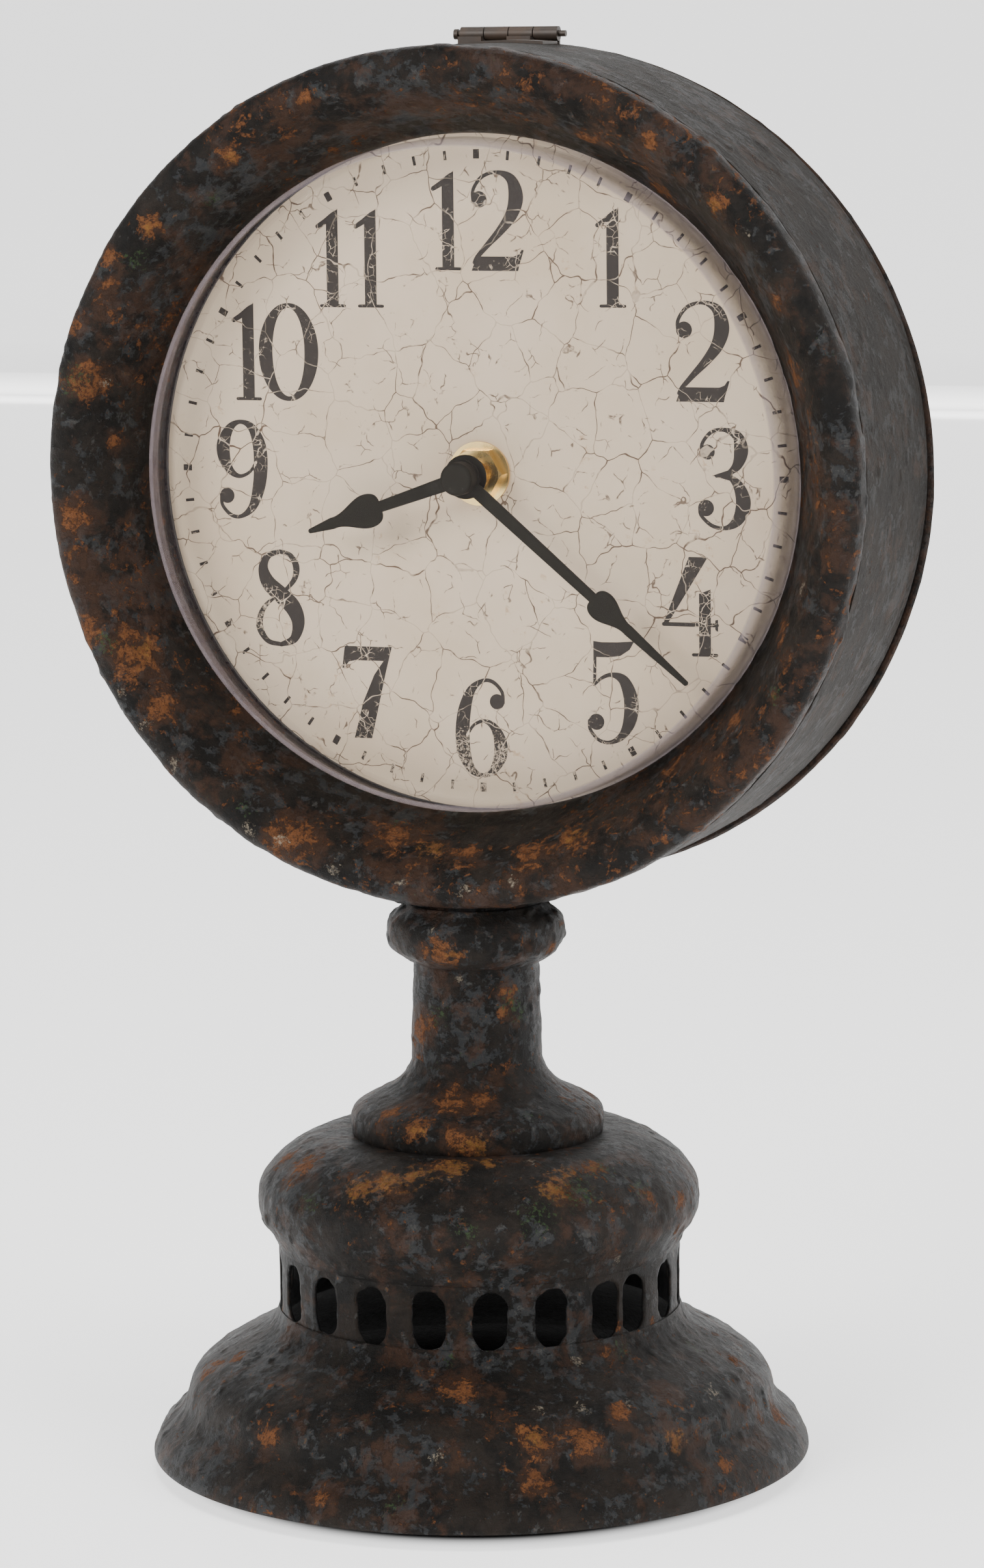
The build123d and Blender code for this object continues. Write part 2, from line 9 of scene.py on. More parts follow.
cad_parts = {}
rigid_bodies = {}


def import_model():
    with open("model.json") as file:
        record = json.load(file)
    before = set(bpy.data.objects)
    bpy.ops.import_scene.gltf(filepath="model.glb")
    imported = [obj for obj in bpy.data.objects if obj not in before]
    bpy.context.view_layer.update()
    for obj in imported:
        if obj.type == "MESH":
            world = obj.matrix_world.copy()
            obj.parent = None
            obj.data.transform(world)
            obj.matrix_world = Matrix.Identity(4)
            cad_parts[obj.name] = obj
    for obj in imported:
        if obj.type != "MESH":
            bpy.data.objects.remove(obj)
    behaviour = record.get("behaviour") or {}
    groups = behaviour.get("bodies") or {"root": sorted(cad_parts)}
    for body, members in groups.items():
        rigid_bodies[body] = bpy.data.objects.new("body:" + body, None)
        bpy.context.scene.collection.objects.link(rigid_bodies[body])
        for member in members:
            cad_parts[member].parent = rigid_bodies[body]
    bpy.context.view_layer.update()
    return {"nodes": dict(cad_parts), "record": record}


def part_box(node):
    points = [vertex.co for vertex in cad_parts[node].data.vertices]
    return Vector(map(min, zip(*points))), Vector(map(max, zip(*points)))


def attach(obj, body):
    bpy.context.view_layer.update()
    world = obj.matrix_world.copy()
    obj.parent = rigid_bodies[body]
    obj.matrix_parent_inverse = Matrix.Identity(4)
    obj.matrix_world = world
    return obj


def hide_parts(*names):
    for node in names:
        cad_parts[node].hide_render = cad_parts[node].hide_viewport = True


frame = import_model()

mm = 0.001

# places read from the frame
dialLow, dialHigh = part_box("dial_face")
dialHeight = (dialLow[2] + dialHigh[2]) / 2
dialFront = dialLow[1]
doorAjar = math.radians(1.3)
doorDrop = 0.9 * mm                                   # how far the door hangs below the drum's axis
hingeAxis = (48.2 * mm, dialHeight + 121.7 * mm)      # y and z of the hinge pin


# smooth step from 0 to 1 between low and high
def fade(value, low, high):
    t = np.clip((value - low) / (high - low), 0, 1)
    return t * t * (3 - 2 * t)


# random value on each corner of a lattice, from a mixed-up sum of its whole coordinates
def cornerValue(cell, seed):
    mixed = cell[..., 0] * 73856093 ^ cell[..., 1] * 19349663 ^ cell[..., 2] * 83492791 ^ seed * 2654435
    mixed = (mixed ^ (mixed >> 13)) * 1274126177
    return ((mixed ^ (mixed >> 16)) & 0xFFFF) / 32767.5 - 1


# value noise: corner values blended across each cell of the given size, from -1 to 1
def lumps(points, size, seed):
    scaled = points / size
    cell = np.floor(scaled).astype(np.int64)
    part = scaled - cell
    part = part * part * (3 - 2 * part)
    total = 0
    for corner in range(8):
        offset = np.array([corner & 1, corner >> 1 & 1, corner >> 2 & 1])
        weight = np.prod(np.where(offset, part, 1 - part), axis=-1)
        total = total + weight * cornerValue(cell + offset, seed)
    return total


# hammered and overpainted surface, in metres: broad waves, soft blobs and a fine crust
def paintRelief(points, seed, height):
    broad = lumps(points, 14 * mm, seed) * 0.12
    middle = lumps(points, 5.5 * mm, seed + 1) * 0.10
    blobs = fade(lumps(points, 3.2 * mm, seed + 2), 0.25, 0.8) * 0.20
    crust = lumps(points, 1.6 * mm, seed + 3) * 0.05
    patchy = fade(lumps(points, 22 * mm, seed + 4), -0.5, 0.6)
    return (broad + middle * (0.5 + patchy) + blobs * patchy + crust) * mm * height


# curve through rough points (any number of columns) at an even step, each piece a Catmull-Rom cubic
def smoothLine(rough, step):
    rough = np.array(rough, float)
    ends = np.vstack([2 * rough[0] - rough[1], rough, 2 * rough[-1] - rough[-2]])
    gaps = np.linalg.norm(np.diff(rough[:, :2], axis=0), axis=1)
    length = np.concatenate([[0], np.cumsum(gaps)])
    along = np.linspace(0, length[-1], max(3, int(round(length[-1] / step)) + 1))
    k = np.clip(np.searchsorted(length, along, side="right") - 1, 0, len(rough) - 2)
    t = ((along - length[k]) / gaps[k])[:, None]
    a, b, c, d = ends[k], ends[k + 1], ends[k + 2], ends[k + 3]
    return 0.5 * (2 * b + (c - a) * t + (2 * a - 5 * b + 4 * c - d) * t ** 2
                  + (3 * b - a - 3 * c + d) * t ** 3)


# mesh from points and rows of corner numbers, quads and triangles in separate arrays; the volume that
# its faces enclose, summed as triple products, is negative where they all need turning over
def meshPiece(name, points, faceRows, body, stands=(), smooth=True, shares=None):
    volume = 0
    for rows in faceRows:
        for k in range(1, rows.shape[1] - 1):
            across = np.cross(points[rows[:, k]], points[rows[:, k + 1]])
            volume += np.einsum("ij,ij->i", points[rows[:, 0]], across).sum()
    if volume < 0:
        faceRows = [rows[:, ::-1] for rows in faceRows]
    mesh = bpy.data.meshes.new(name)
    corners = np.concatenate([rows.ravel() for rows in faceRows]).astype(np.int32)
    sizes = np.concatenate([np.full(len(rows), rows.shape[1]) for rows in faceRows])
    mesh.vertices.add(len(points))
    mesh.vertices.foreach_set("co", np.asarray(points, np.float32).ravel())
    mesh.loops.add(len(corners))
    mesh.loops.foreach_set("vertex_index", corners)
    mesh.polygons.add(len(sizes))
    starts = np.concatenate([[0], np.cumsum(sizes)[:-1]]).astype(np.int32)
    mesh.polygons.foreach_set("loop_start", starts)
    mesh.update(calc_edges=True)
    mesh.validate()
    for label, values in (shares or {}).items():
        attribute = mesh.attributes.new(label, "FLOAT", "POINT")
        attribute.data.foreach_set("value", np.asarray(values, np.float32).ravel())
    if smooth:
        mesh.shade_smooth()
    else:
        mesh.shade_flat()
    piece = bpy.data.objects.new(name, mesh)
    bpy.context.scene.collection.objects.link(piece)
    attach(piece, body)
    if stands:
        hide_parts(*stands)
    return piece


# quads of a grid whose rows and columns both close on themselves
def ringQuads(rowCount, columnCount):
    row, column = np.meshgrid(np.arange(rowCount), np.arange(columnCount), indexing="ij")
    nextRow, nextColumn = (row + 1) % rowCount, (column + 1) % columnCount
    quads = np.stack([row * columnCount + column, row * columnCount + nextColumn,
                      nextRow * columnCount + nextColumn, nextRow * columnCount + column], axis=-1)
    return quads.reshape(-1, 4)


# point at a radius, a place along the axis and an angle; the angle starts at the front of an upright
# axis, and at 12 on the dial's axis, and both run towards +X
def placed(radius, along, angle, upright):
    radius, along, angle = np.broadcast_arrays(radius, along, angle)
    if upright:
        return np.stack([radius * np.sin(angle), -radius * np.cos(angle), along], axis=-1)
    return np.stack([radius * np.sin(angle), along, dialHeight + radius * np.cos(angle)], axis=-1)


# 1 in the middle of each stain, falling to 0 at its radius; stains are angle, radius or height, size
def stained(points, stains, upright, reach):
    share = np.zeros(points.shape[:-1])
    for angle, place, size in stains:
        turn = math.radians(angle)
        if upright:
            middle = placed(reach(place), place * mm, turn, True)
        else:
            middle = placed(place * mm, reach(place), turn, False)
        distance = np.linalg.norm(points - middle, axis=-1) / (size * mm)
        share = np.maximum(share, np.clip(1.15 - distance, 0, 1))
    return share


# how much rust, ochre, chips and green a piece has at each point
def stainShares(points, look, upright, reach):
    return {label: stained(points, look.get(label, ()), upright, reach)
            for label in ("rust", "ochre", "chip", "green")}


# wall turned round an axis: the outer line carries paint relief, the inner one closes the wall behind it
def spunPiece(name, look, stands, body="stand", upright=True, turned=None):
    outer = smoothLine(look["outline"], look["step"])
    inner = smoothLine(look["inside"], look["step"] * 4)[::-1]
    columns = look["columns"]
    tangent = np.gradient(outer, axis=0)
    tangent /= np.linalg.norm(tangent, axis=1)[:, None]
    normal = np.stack([tangent[:, 1], -tangent[:, 0]], axis=1) * look.get("side", 1)
    bend = np.gradient(tangent, axis=0) / look["step"]
    ridge = np.convolve(-np.einsum("ij,ij->i", bend, normal), np.ones(3) / 3, mode="same")
    angle = np.arange(columns) * 2 * math.pi / columns
    start = placed(outer[:, :1] * mm, outer[:, 1:] * mm, angle[None, :], upright)
    rows = np.arange(len(outer))[:, None] * look["step"]
    free = fade(rows, 0, look.get("tightStart", 2)) * fade(rows[::-1], 0, look.get("tightEnd", 2))
    lift = paintRelief(start, look["seed"], look["height"]) * free
    radius = outer[:, :1] * mm + normal[:, :1] * lift
    along = outer[:, 1:] * mm + normal[:, 1:] * lift
    points = placed(radius, along, angle[None, :], upright)
    back = placed(inner[:, :1] * mm, inner[:, 1:] * mm, angle[None, :], upright)
    if upright:
        reach = lambda height: np.interp(height, outer[:, 1], outer[:, 0]) * mm
    else:
        order = np.argsort(outer[:, 0])
        reach = lambda out: np.interp(out, outer[order, 0], outer[order, 1]) * mm
    shares = {"ridge": np.broadcast_to(np.clip(ridge * 3, -1, 1)[:, None], lift.shape)}
    shares.update(stainShares(points, look, upright, reach))
    overall = look.get("rusty", 0.15) * fade(lumps(points, 17 * mm, look["seed"] + 7), -0.5, 0.5)
    shares["rust"] = np.maximum(shares["rust"], overall)
    zeros = np.zeros(back.shape[:-1])
    shares = {label: np.concatenate([values, zeros]) for label, values in shares.items()}
    # inner marks the wall's back face, which the paint darkens as painted shade
    shares["inner"] = np.concatenate([0 * lift, zeros + 1])
    points = np.concatenate([points, back])
    quads = ringQuads(*points.shape[:2])
    points = points.reshape(-1, 3)
    if turned:
        points = turned(points)
    return meshPiece(name, points, [quads], body, [stands], shares=shares)


skirtLook = {
    "outline": [(93.7, 0), (93.65, 0.8), (93.1, 2.6), (91.6, 5.6), (89.1, 8.4), (86.4, 10.9),
                (84.5, 13.6), (83.7, 16.5), (82.9, 19.5), (81.1, 22.4), (77.4, 25.9), (72, 29.4),
                (66, 32.6), (61.2, 35.4), (58.9, 37.8), (57.9, 39.8), (57.25, 41.6)],
    "inside": [(89.6, 0), (89.6, 1.2), (91.6, 1.4), (90.5, 5.1), (88.1, 7.6), (85.5, 10.3), (83.5, 13.3),
               (82.7, 16.3), (81.9, 19.2), (80.3, 21.8), (76.7, 25.2), (71.4, 28.5), (65.4, 31.7),
               (60.6, 34.5), (57.9, 37.4), (56.6, 41.4)],
    "step": 0.75, "columns": 760, "seed": 11, "height": 2.0, "rusty": 0.28, "tightStart": 3.5,
    "tightEnd": 1.5,
    "rust": [(16, 33, 8), (57, 38, 4), (31, 22, 9), (40, 21, 7), (50, 26, 6), (95, 28, 5), (98, 12, 8),
             (-25, 18, 8), (-8, 7, 6), (70, 9, 7), (30, 12, 6), (-55, 30, 5), (150, 20, 10), (200, 30, 9),
             (250, 12, 10), (300, 26, 8)],
    "ochre": [(60, 17, 5), (30, 23, 5), (110, 18, 5)],
    "chip": [(47, 37, 3.4), (33, 29, 3), (42, 28, 4), (53, 27, 3), (76, 26, 6), (12, 19, 4), (170, 28, 5),
             (280, 18, 4)],
    "green": [(12, 39.5, 3), (62, 38, 5), (88, 33, 4), (5, 7, 4), (120, 12, 6), (230, 20, 6)],
}
domeLook = {
    "outline": [(57.1, 59.4), (57.6, 60.6), (58.3, 62), (59.3, 64), (61.2, 66.8), (62.5, 69.6),
                (62.7, 73), (62.2, 77), (60, 80.8), (56.2, 84.5), (51.3, 87.8), (46.2, 90), (41.5, 91.1),
                (37, 91.2), (33.6, 91.2)],
    "inside": [(56.5, 59.4), (57.1, 61.4), (58.2, 64.4), (60.3, 67.4), (61.5, 69.8), (61.7, 73),
               (61.2, 76.7), (59.1, 80.2), (55.5, 83.7), (50.8, 86.9), (45.9, 89), (41.3, 90.1),
               (33.6, 90.2)],
    "step": 0.75, "columns": 600, "seed": 23, "height": 2.0, "rusty": 0.25, "tightStart": 1.5,
    "tightEnd": 4,
    "rust": [(-45, 86, 9), (72, 80, 4), (85, 76, 5), (60, 88.5, 6), (6, 90.8, 7), (-75, 79, 6),
             (140, 84, 9), (220, 80, 9), (300, 86, 7)],
    "ochre": [(23, 91, 6), (12, 90.4, 8), (0, 88.8, 9), (-8, 87, 9), (-15, 85, 8), (42, 86, 8),
              (50, 88, 5), (180, 89, 8)],
    "chip": [(40, 90.9, 3), (60, 64, 3), (110, 66, 3), (200, 87, 4)],
    "green": [(50, 84, 9), (62, 88, 7), (36, 80, 8), (70, 82, 6), (18, 76, 6), (160, 82, 9),
              (330, 80, 6)],
}
flangeLook = {
    "outline": [(35.3, 90.6), (35.8, 92.6), (35.9, 96.2), (34.9, 98.6), (32.4, 100.3), (28.8, 102.1),
                (25, 104.1), (22.2, 106.3), (20.2, 108.8), (19.1, 111.4), (18.4, 114.4), (17.9, 117)],
    "inside": [(34, 90.6), (34, 96), (32, 98.6), (24, 102), (18.8, 104), (18.0, 110), (17.5, 117)],
    "step": 0.6, "columns": 420, "seed": 37, "height": 1.9, "rusty": 0.35, "tightStart": 1.2,
    "tightEnd": 1.2,
    "rust": [(4, 104, 9), (24, 105, 7), (-10, 99, 7), (10, 96, 6), (-30, 101, 5), (16, 94, 5),
             (120, 100, 8), (220, 103, 8)],
    "ochre": [(22, 94, 5), (-8, 98, 4), (16, 95, 4)],
    "chip": [(60, 94, 2), (190, 98, 3)],
    "green": [(48, 101, 3), (260, 100, 4)],
}
neckLook = {
    "outline": [(19.0, 95.6), (18.75, 104), (18.6, 112), (18.2, 126), (17.6, 136), (17.6, 146)],
    "inside": [(17.8, 95.6), (17.5, 112), (17.1, 126), (16.5, 136), (16.5, 146)],
    "step": 0.6, "columns": 320, "seed": 41, "height": 2.0, "tightStart": 14, "tightEnd": 7,
    "rust": [(47, 134, 5), (-41, 122, 8), (-48, 113, 6), (44, 128, 3), (130, 120, 8), (230, 128, 9)],
    "chip": [(5, 138, 2)],
    "green": [(52, 131, 6), (60, 128, 5), (-15, 128, 5), (180, 118, 6)],
}
collarLook = {
    "outline": [(17.6, 140.4), (20.6, 142), (23.9, 144.6), (25, 148), (25, 150.6), (24.5, 152.6),
                (23.2, 154.2), (21.4, 155.6), (19.6, 157.4)],
    "inside": [(17.3, 141.2), (17.3, 148), (18.4, 157.4)],
    "step": 0.5, "columns": 360, "seed": 53, "height": 3.0, "tightStart": 1.2, "tightEnd": 1.2,
    "rust": [(-2, 146.5, 7), (8, 145.5, 4), (80, 146, 4), (-14, 147, 4), (150, 147, 6), (250, 150, 6)],
    "ochre": [(6, 146, 3)],
    "chip": [(-10, 152.5, 2), (0, 142, 2)],
    "green": [(200, 150, 4)],
}
bezelLook = {
    "outline": [(118.05, -13), (119.25, -15.9), (119.3, -18.6), (118.6, -21.4), (116.4, -23.2),
                (113, -23.6), (109.6, -21.9), (106.2, -18), (102.6, -12.2), (99.4, -5.6), (97, -0.6),
                (95.4, 2.6), (94.9, 4.6)],
    "inside": [(116.9, -13), (117.4, -18.2), (115.6, -21.2), (113, -22.1), (110.3, -20.6), (107.1, -17),
               (103.6, -11.4), (100.4, -5), (98, 0), (96.4, 3.1), (95.95, 4.6)],
    "side": -1, "step": 0.7, "columns": 880, "seed": 67, "height": 2.2, "rusty": 0.42, "tightStart": 2.5,
    "tightEnd": 2,
    "rust": [(325, 109, 7), (309, 111, 6), (302, 116, 6), (299, 112, 4), (284, 110, 10), (291, 117, 5),
             (264, 112, 8), (242, 107, 13), (248, 116, 8), (233, 108, 10), (204, 110, 12), (161, 104, 10),
             (143, 100, 8), (73, 103, 9), (46, 110, 6), (33, 111, 5), (23, 102, 7), (36, 98, 7),
             (112, 102, 7), (92, 107, 5), (191, 103, 10), (167, 106, 9), (206, 113, 8), (178, 104, 6),
             (128, 104, 6), (62, 108, 5), (275, 103, 5), (340, 112, 5)],
    "ochre": [(325, 108, 4), (309, 111, 4), (46, 110, 4), (184, 104, 6), (242, 106, 6), (160, 104, 6)],
    "chip": [(225, 115, 4), (232, 114, 4), (238, 115, 3), (211, 115, 4), (105, 105, 3), (187, 113, 3),
             (177, 113, 4), (197, 114, 4), (206, 113, 4), (170, 112, 3), (284, 106, 3), (52, 112, 2)],
    "green": [(284, 113, 7), (245, 112, 5), (304, 109, 5), (213, 111, 4), (192, 100, 3), (120, 110, 5),
              (318, 104, 4)],
}
drumLook = {
    "outline": [(119.3, -15.98), (119.3, -10), (119.3, 10), (119.3, 30), (119.3, 40), (119.3, 46)],
    "inside": [(118.1, -15.98), (118.1, 15), (118.1, 46)],
    "step": 0.9, "columns": 800, "seed": 71, "height": 1.0, "tightStart": 1, "tightEnd": 1.5,
}
doorLook = {
    "outline": [(0.4, 48.5), (30, 48.5), (80.4, 48.5), (81, 49), (82.5, 49.1), (84, 49), (84.6, 48.5),
                (110, 48.5), (117.8, 48.5), (118.4, 48.35), (119.3, 48.42), (120.1, 47.7), (120.05, 47.0),
                (119.3, 46.4), (118.4, 46.6)],
    "inside": [(0.4, 47.3), (60, 47.3), (117.6, 47.3)],
    "step": 1.1, "columns": 620, "seed": 83, "height": 0.9, "tightStart": 1, "tightEnd": 1.5, "side": -1,
    "rust": [(30, 90, 12), (120, 100, 14), (200, 60, 12), (250, 100, 12), (320, 70, 10), (80, 40, 9),
             (160, 20, 8)],
    "ochre": [(118, 100, 6), (252, 98, 6)],
    "chip": [(60, 112, 4), (210, 112, 5), (290, 110, 4), (150, 84, 3)],
    "green": [(10, 70, 9), (140, 80, 9), (280, 60, 8)],
}

spunPiece("skirt_visual", skirtLook, "base_skirt")
spunPiece("dome_visual", domeLook, "base_dome")
spunPiece("flange_visual", flangeLook, "dome_flange")
spunPiece("neck_visual", neckLook, "neck_tube")
spunPiece("collar_visual", collarLook, "collar")
spunPiece("bezel_visual", bezelLook, "bezel_ring", upright=False)
spunPiece("drum_visual", drumLook, "drum_shell", upright=False)
print("turned pieces made")


# the door's disc, swung about the hinge pin to where it rests
def swungOpen(points):
    y, z = points[:, 1] - hingeAxis[0], points[:, 2] - hingeAxis[1]
    y, z = y * math.cos(doorAjar) - z * math.sin(doorAjar), y * math.sin(doorAjar) + z * math.cos(doorAjar)
    return np.stack([points[:, 0], y + hingeAxis[0], z + hingeAxis[1]], axis=1)


# disc with a beaded rim, turned about the dial's axis, then dropped and swung
def doorPiece(look):
    hung = lambda points: swungOpen(points - [0, 0, doorDrop])
    return spunPiece("door_visual", look, "back_door", "door", upright=False, turned=hung)


doorPiece(doorLook)

bandLook = {
    "radius": 57.0, "wall": 1.0, "bottom": 36.5, "top": 62.0,
    "slots": 21, "pitch": 17.44, "first": 69.3, "width": 9.7, "height": 16.6, "middle": 49.5,
    "round": 96, "rings": 9, "seed": 97, "ragged": 0.34, "lumpy": 1.2,
    "rust": [(57, 40, 4), (62, 44, 3), (10, 39, 3), (31, 41, 3), (78, 42, 3), (150, 45, 6), (240, 50, 6),
             (300, 42, 5)],
    "chip": [(71, 41, 3), (84, 52, 2), (40, 38, 3), (95, 50, 2), (170, 58, 3)],
    "green": [(13, 38, 3), (64, 38, 4), (200, 40, 4)],
}


# pierced band: each slot's ragged edge is joined by rings of points to the oblong patch of wall round it,
# share running from 0 on the slot's edge to 1 on the patch's border
def bandPiece(look):
    count, around, rings = look["slots"], look["round"], look["rings"]
    spare = 360 - count * look["pitch"]
    halfPitch = look["pitch"] / 2
    edge = np.linspace(0, 1, around // 4, endpoint=False)
    one = np.ones_like(edge)
    square = np.concatenate([np.stack([-one, 1 - 2 * edge], 1), np.stack([2 * edge - 1, -one], 1),
                             np.stack([one, 2 * edge - 1], 1), np.stack([1 - 2 * edge, one], 1)])
    middleAngles = look["first"] + np.arange(count) * look["pitch"]
    left = np.full(count, halfPitch)
    right = np.full(count, halfPitch)
    left[0] += spare / 2                        # the two slots beside the lap seam reach to the seam
    right[-1] += spare / 2
    sideways = square[None, :, 0]
    outerAngle = sideways * np.where(sideways < 0, left[:, None], right[:, None])
    midHeight = (look["top"] + look["bottom"]) / 2
    outerHeight = midHeight + square[:, 1] * (look["top"] - look["bottom"]) / 2
    # slot's edge: straight sides and round ends, walked from the middle of its left side at an even step
    bow = look["width"] / 2
    straight = look["height"] / 2 - bow
    bend = np.linspace(0, math.pi, 60)
    edgeX = np.concatenate([[-bow], -bow * np.cos(bend), bow * np.cos(bend), [-bow]])
    edgeZ = np.concatenate([[0], -straight - bow * np.sin(bend), straight + bow * np.sin(bend), [0]])
    walked = np.concatenate([[0], np.cumsum(np.hypot(np.diff(edgeX), np.diff(edgeZ)))])
    along = ((np.arange(around) / around - 0.125) % 1) * walked[-1]
    across, upwards = np.interp(along, walked, edgeX), np.interp(along, walked, edgeZ)
    slotAngle = np.degrees(across / look["radius"])
    outX, outZ = across / bow, np.clip(upwards - np.clip(upwards, -straight, straight), -bow, bow) / bow
    share = (np.arange(rings) / (rings - 1))[None, None, :] ** 0.85
    outerHeightAll = np.broadcast_to(outerHeight, outerAngle.shape)
    angle = slotAngle[None, :, None] * (1 - share) + outerAngle[..., None] * share
    angle = angle + middleAngles[:, None, None]
    height = (look["middle"] + upwards)[None, :, None] * (1 - share) + outerHeightAll[..., None] * share
    flat = placed(look["radius"] * mm, height * mm, np.radians(angle), True)
    notch = lumps(flat, 1.9 * mm, look["seed"] + 9) + 0.6 * lumps(flat, 4.5 * mm, look["seed"] + 10)
    pull = look["ragged"] * notch * (1 - fade(share, 0.0, 0.35))
    angle = angle + np.degrees(pull * outX[None, :, None] / look["radius"])
    height = height + pull * outZ[None, :, None]
    flat = placed(look["radius"] * mm, height * mm, np.radians(angle), True)
    rim = 1 - fade(share, 0.0, 0.16)
    low, high = look["bottom"], look["top"]
    free = fade(height, low, low + 4.5) * fade(-height, -high, -high + 4.5)
    lift = paintRelief(flat, look["seed"], look["lumpy"]) * free - 0.22 * mm * rim
    front = placed(look["radius"] * mm + lift, height * mm, np.radians(angle), True)
    back = placed((look["radius"] - look["wall"]) * mm + 0 * lift, height * mm, np.radians(angle), True)
    shares = {"ridge": np.broadcast_to(0.9 * rim - 0.1, lift.shape)}
    shares.update(stainShares(front, look, True, lambda place: look["radius"] * mm))
    shares = {label: np.concatenate([v.ravel(), 0 * v.ravel()]) for label, v in shares.items()}
    shares["inner"] = np.concatenate([0 * lift.ravel(), 0 * lift.ravel() + 1])
    points = np.concatenate([front.reshape(-1, 3), back.reshape(-1, 3)])
    size = count * around * rings
    slotNo, turn, ring = np.meshgrid(np.arange(count), np.arange(around), np.arange(rings - 1), indexing="ij")
    at = lambda s, t, r: (s * around + t % around) * rings + r
    frontQuads = np.stack([at(slotNo, turn, ring), at(slotNo, turn + 1, ring), at(slotNo, turn + 1, ring + 1),
                           at(slotNo, turn, ring + 1)], -1).reshape(-1, 4)
    backQuads = frontQuads[:, ::-1] + size
    slotNo, turn = np.meshgrid(np.arange(count), np.arange(around), indexing="ij")
    inner = np.stack([at(slotNo, turn, 0), at(slotNo, turn, 0) + size, at(slotNo, turn + 1, 0) + size,
                      at(slotNo, turn + 1, 0)], -1).reshape(-1, 4)
    # top and bottom rims close the wall; the sides of neighbouring slots are the same points
    quarter = around // 4
    last = rings - 1
    below = np.arange(quarter, 2 * quarter)
    above = np.arange(3 * quarter, 4 * quarter)
    slotNo, turn = np.meshgrid(np.arange(count), np.concatenate([below, above]), indexing="ij")
    rims = np.stack([at(slotNo, turn, last), at(slotNo, turn + 1, last), at(slotNo, turn + 1, last) + size,
                     at(slotNo, turn, last) + size], -1).reshape(-1, 4)
    quads = np.concatenate([frontQuads, backQuads, inner, rims])
    # points shared by two neighbouring slots are merged into one
    key = np.round(points / (0.002 * mm)).astype(np.int64)
    _, first, number = np.unique(key, axis=0, return_index=True, return_inverse=True)
    quads = number.reshape(-1)[quads]
    points = points[first]
    shares = {label: values[first] for label, values in shares.items()}
    return meshPiece("band_visual", points, [quads], "stand", ["vent_band"],
                     shares=shares)


bandPiece(bandLook)
print("pierced band made")

saddleLook = {
    "foot": 20.6, "footHeight": 156.3, "waist": 19.2, "head": 18.3, "wall": 1.0,
    "drum": 119.25, "columns": 320, "rows": 26, "seed": 59, "lumpy": 1.2,
    "rust": [(-20, 162, 4), (60, 160, 5), (170, 161, 6)], "chip": [(-28, 160, 2)],
}


# cradle between the collar and the drum: its upper edge stands where the drum's round underside is,
# the drum's axis less the root of the drum's radius squared minus the place across squared
def saddlePiece(look):
    angle = np.arange(look["columns"]) * 2 * math.pi / look["columns"]
    rise = np.linspace(0, 1, look["rows"])[:, None]
    rough = [(look["foot"], 0), (look["waist"], 0.26), (look["head"] + 0.4, 0.6), (look["head"], 1)]
    outline = smoothLine(rough, 0.04)
    radius = np.interp(rise, outline[:, 1], outline[:, 0])
    top = dialHeight / mm - np.sqrt(look["drum"] ** 2 - (look["head"] * np.sin(angle)) ** 2)[None, :]
    height = look["footHeight"] + (top - look["footHeight"]) * rise
    flat = placed(radius * mm + 0 * height, height * mm, angle[None, :], True)
    lift = paintRelief(flat, look["seed"], look["lumpy"]) * fade(rise, 0, 0.2) * fade(1 - rise, 0, 0.25)
    front = placed(radius * mm + lift, height * mm, angle[None, :], True)
    backRows = slice(None, None, -5)
    back = placed((radius[backRows] - look["wall"]) * mm, height[backRows] * mm, angle[None, :], True)
    shares = {"ridge": np.broadcast_to(0.3 * (1 - rise), lift.shape)}
    shares.update(stainShares(front, look, True, lambda place: look["head"] * mm))
    zeros = np.zeros(back.shape[:-1])
    shares = {label: np.concatenate([values, zeros]) for label, values in shares.items()}
    shares["inner"] = np.concatenate([0 * lift, zeros + 1])
    points = np.concatenate([front, back])
    quads = ringQuads(*points.shape[:2])
    return meshPiece("saddle_visual", points.reshape(-1, 3), [quads], "stand",
                     ["saddle"], shares=shares)


saddlePiece(saddleLook)


# a shader socket that takes ordinary arithmetic
class Wire:
    def __init__(self, paint, socket):
        self.paint, self.socket = paint, socket

    def combined(self, operation, first, second):
        return self.paint.node("ShaderNodeMath", {"operation": operation}, {0: first, 1: second})

    def __add__(self, other):
        return self.combined("ADD", self, other)

    def __radd__(self, other):
        return self.combined("ADD", other, self)

    def __sub__(self, other):
        return self.combined("SUBTRACT", self, other)

    def __rsub__(self, other):
        return self.combined("SUBTRACT", other, self)

    def __mul__(self, other):
        return self.combined("MULTIPLY", self, other)

    def __rmul__(self, other):
        return self.combined("MULTIPLY", other, self)

    def __truediv__(self, other):
        return self.combined("DIVIDE", self, other)

    def __pow__(self, other):
        return self.combined("POWER", self, other)


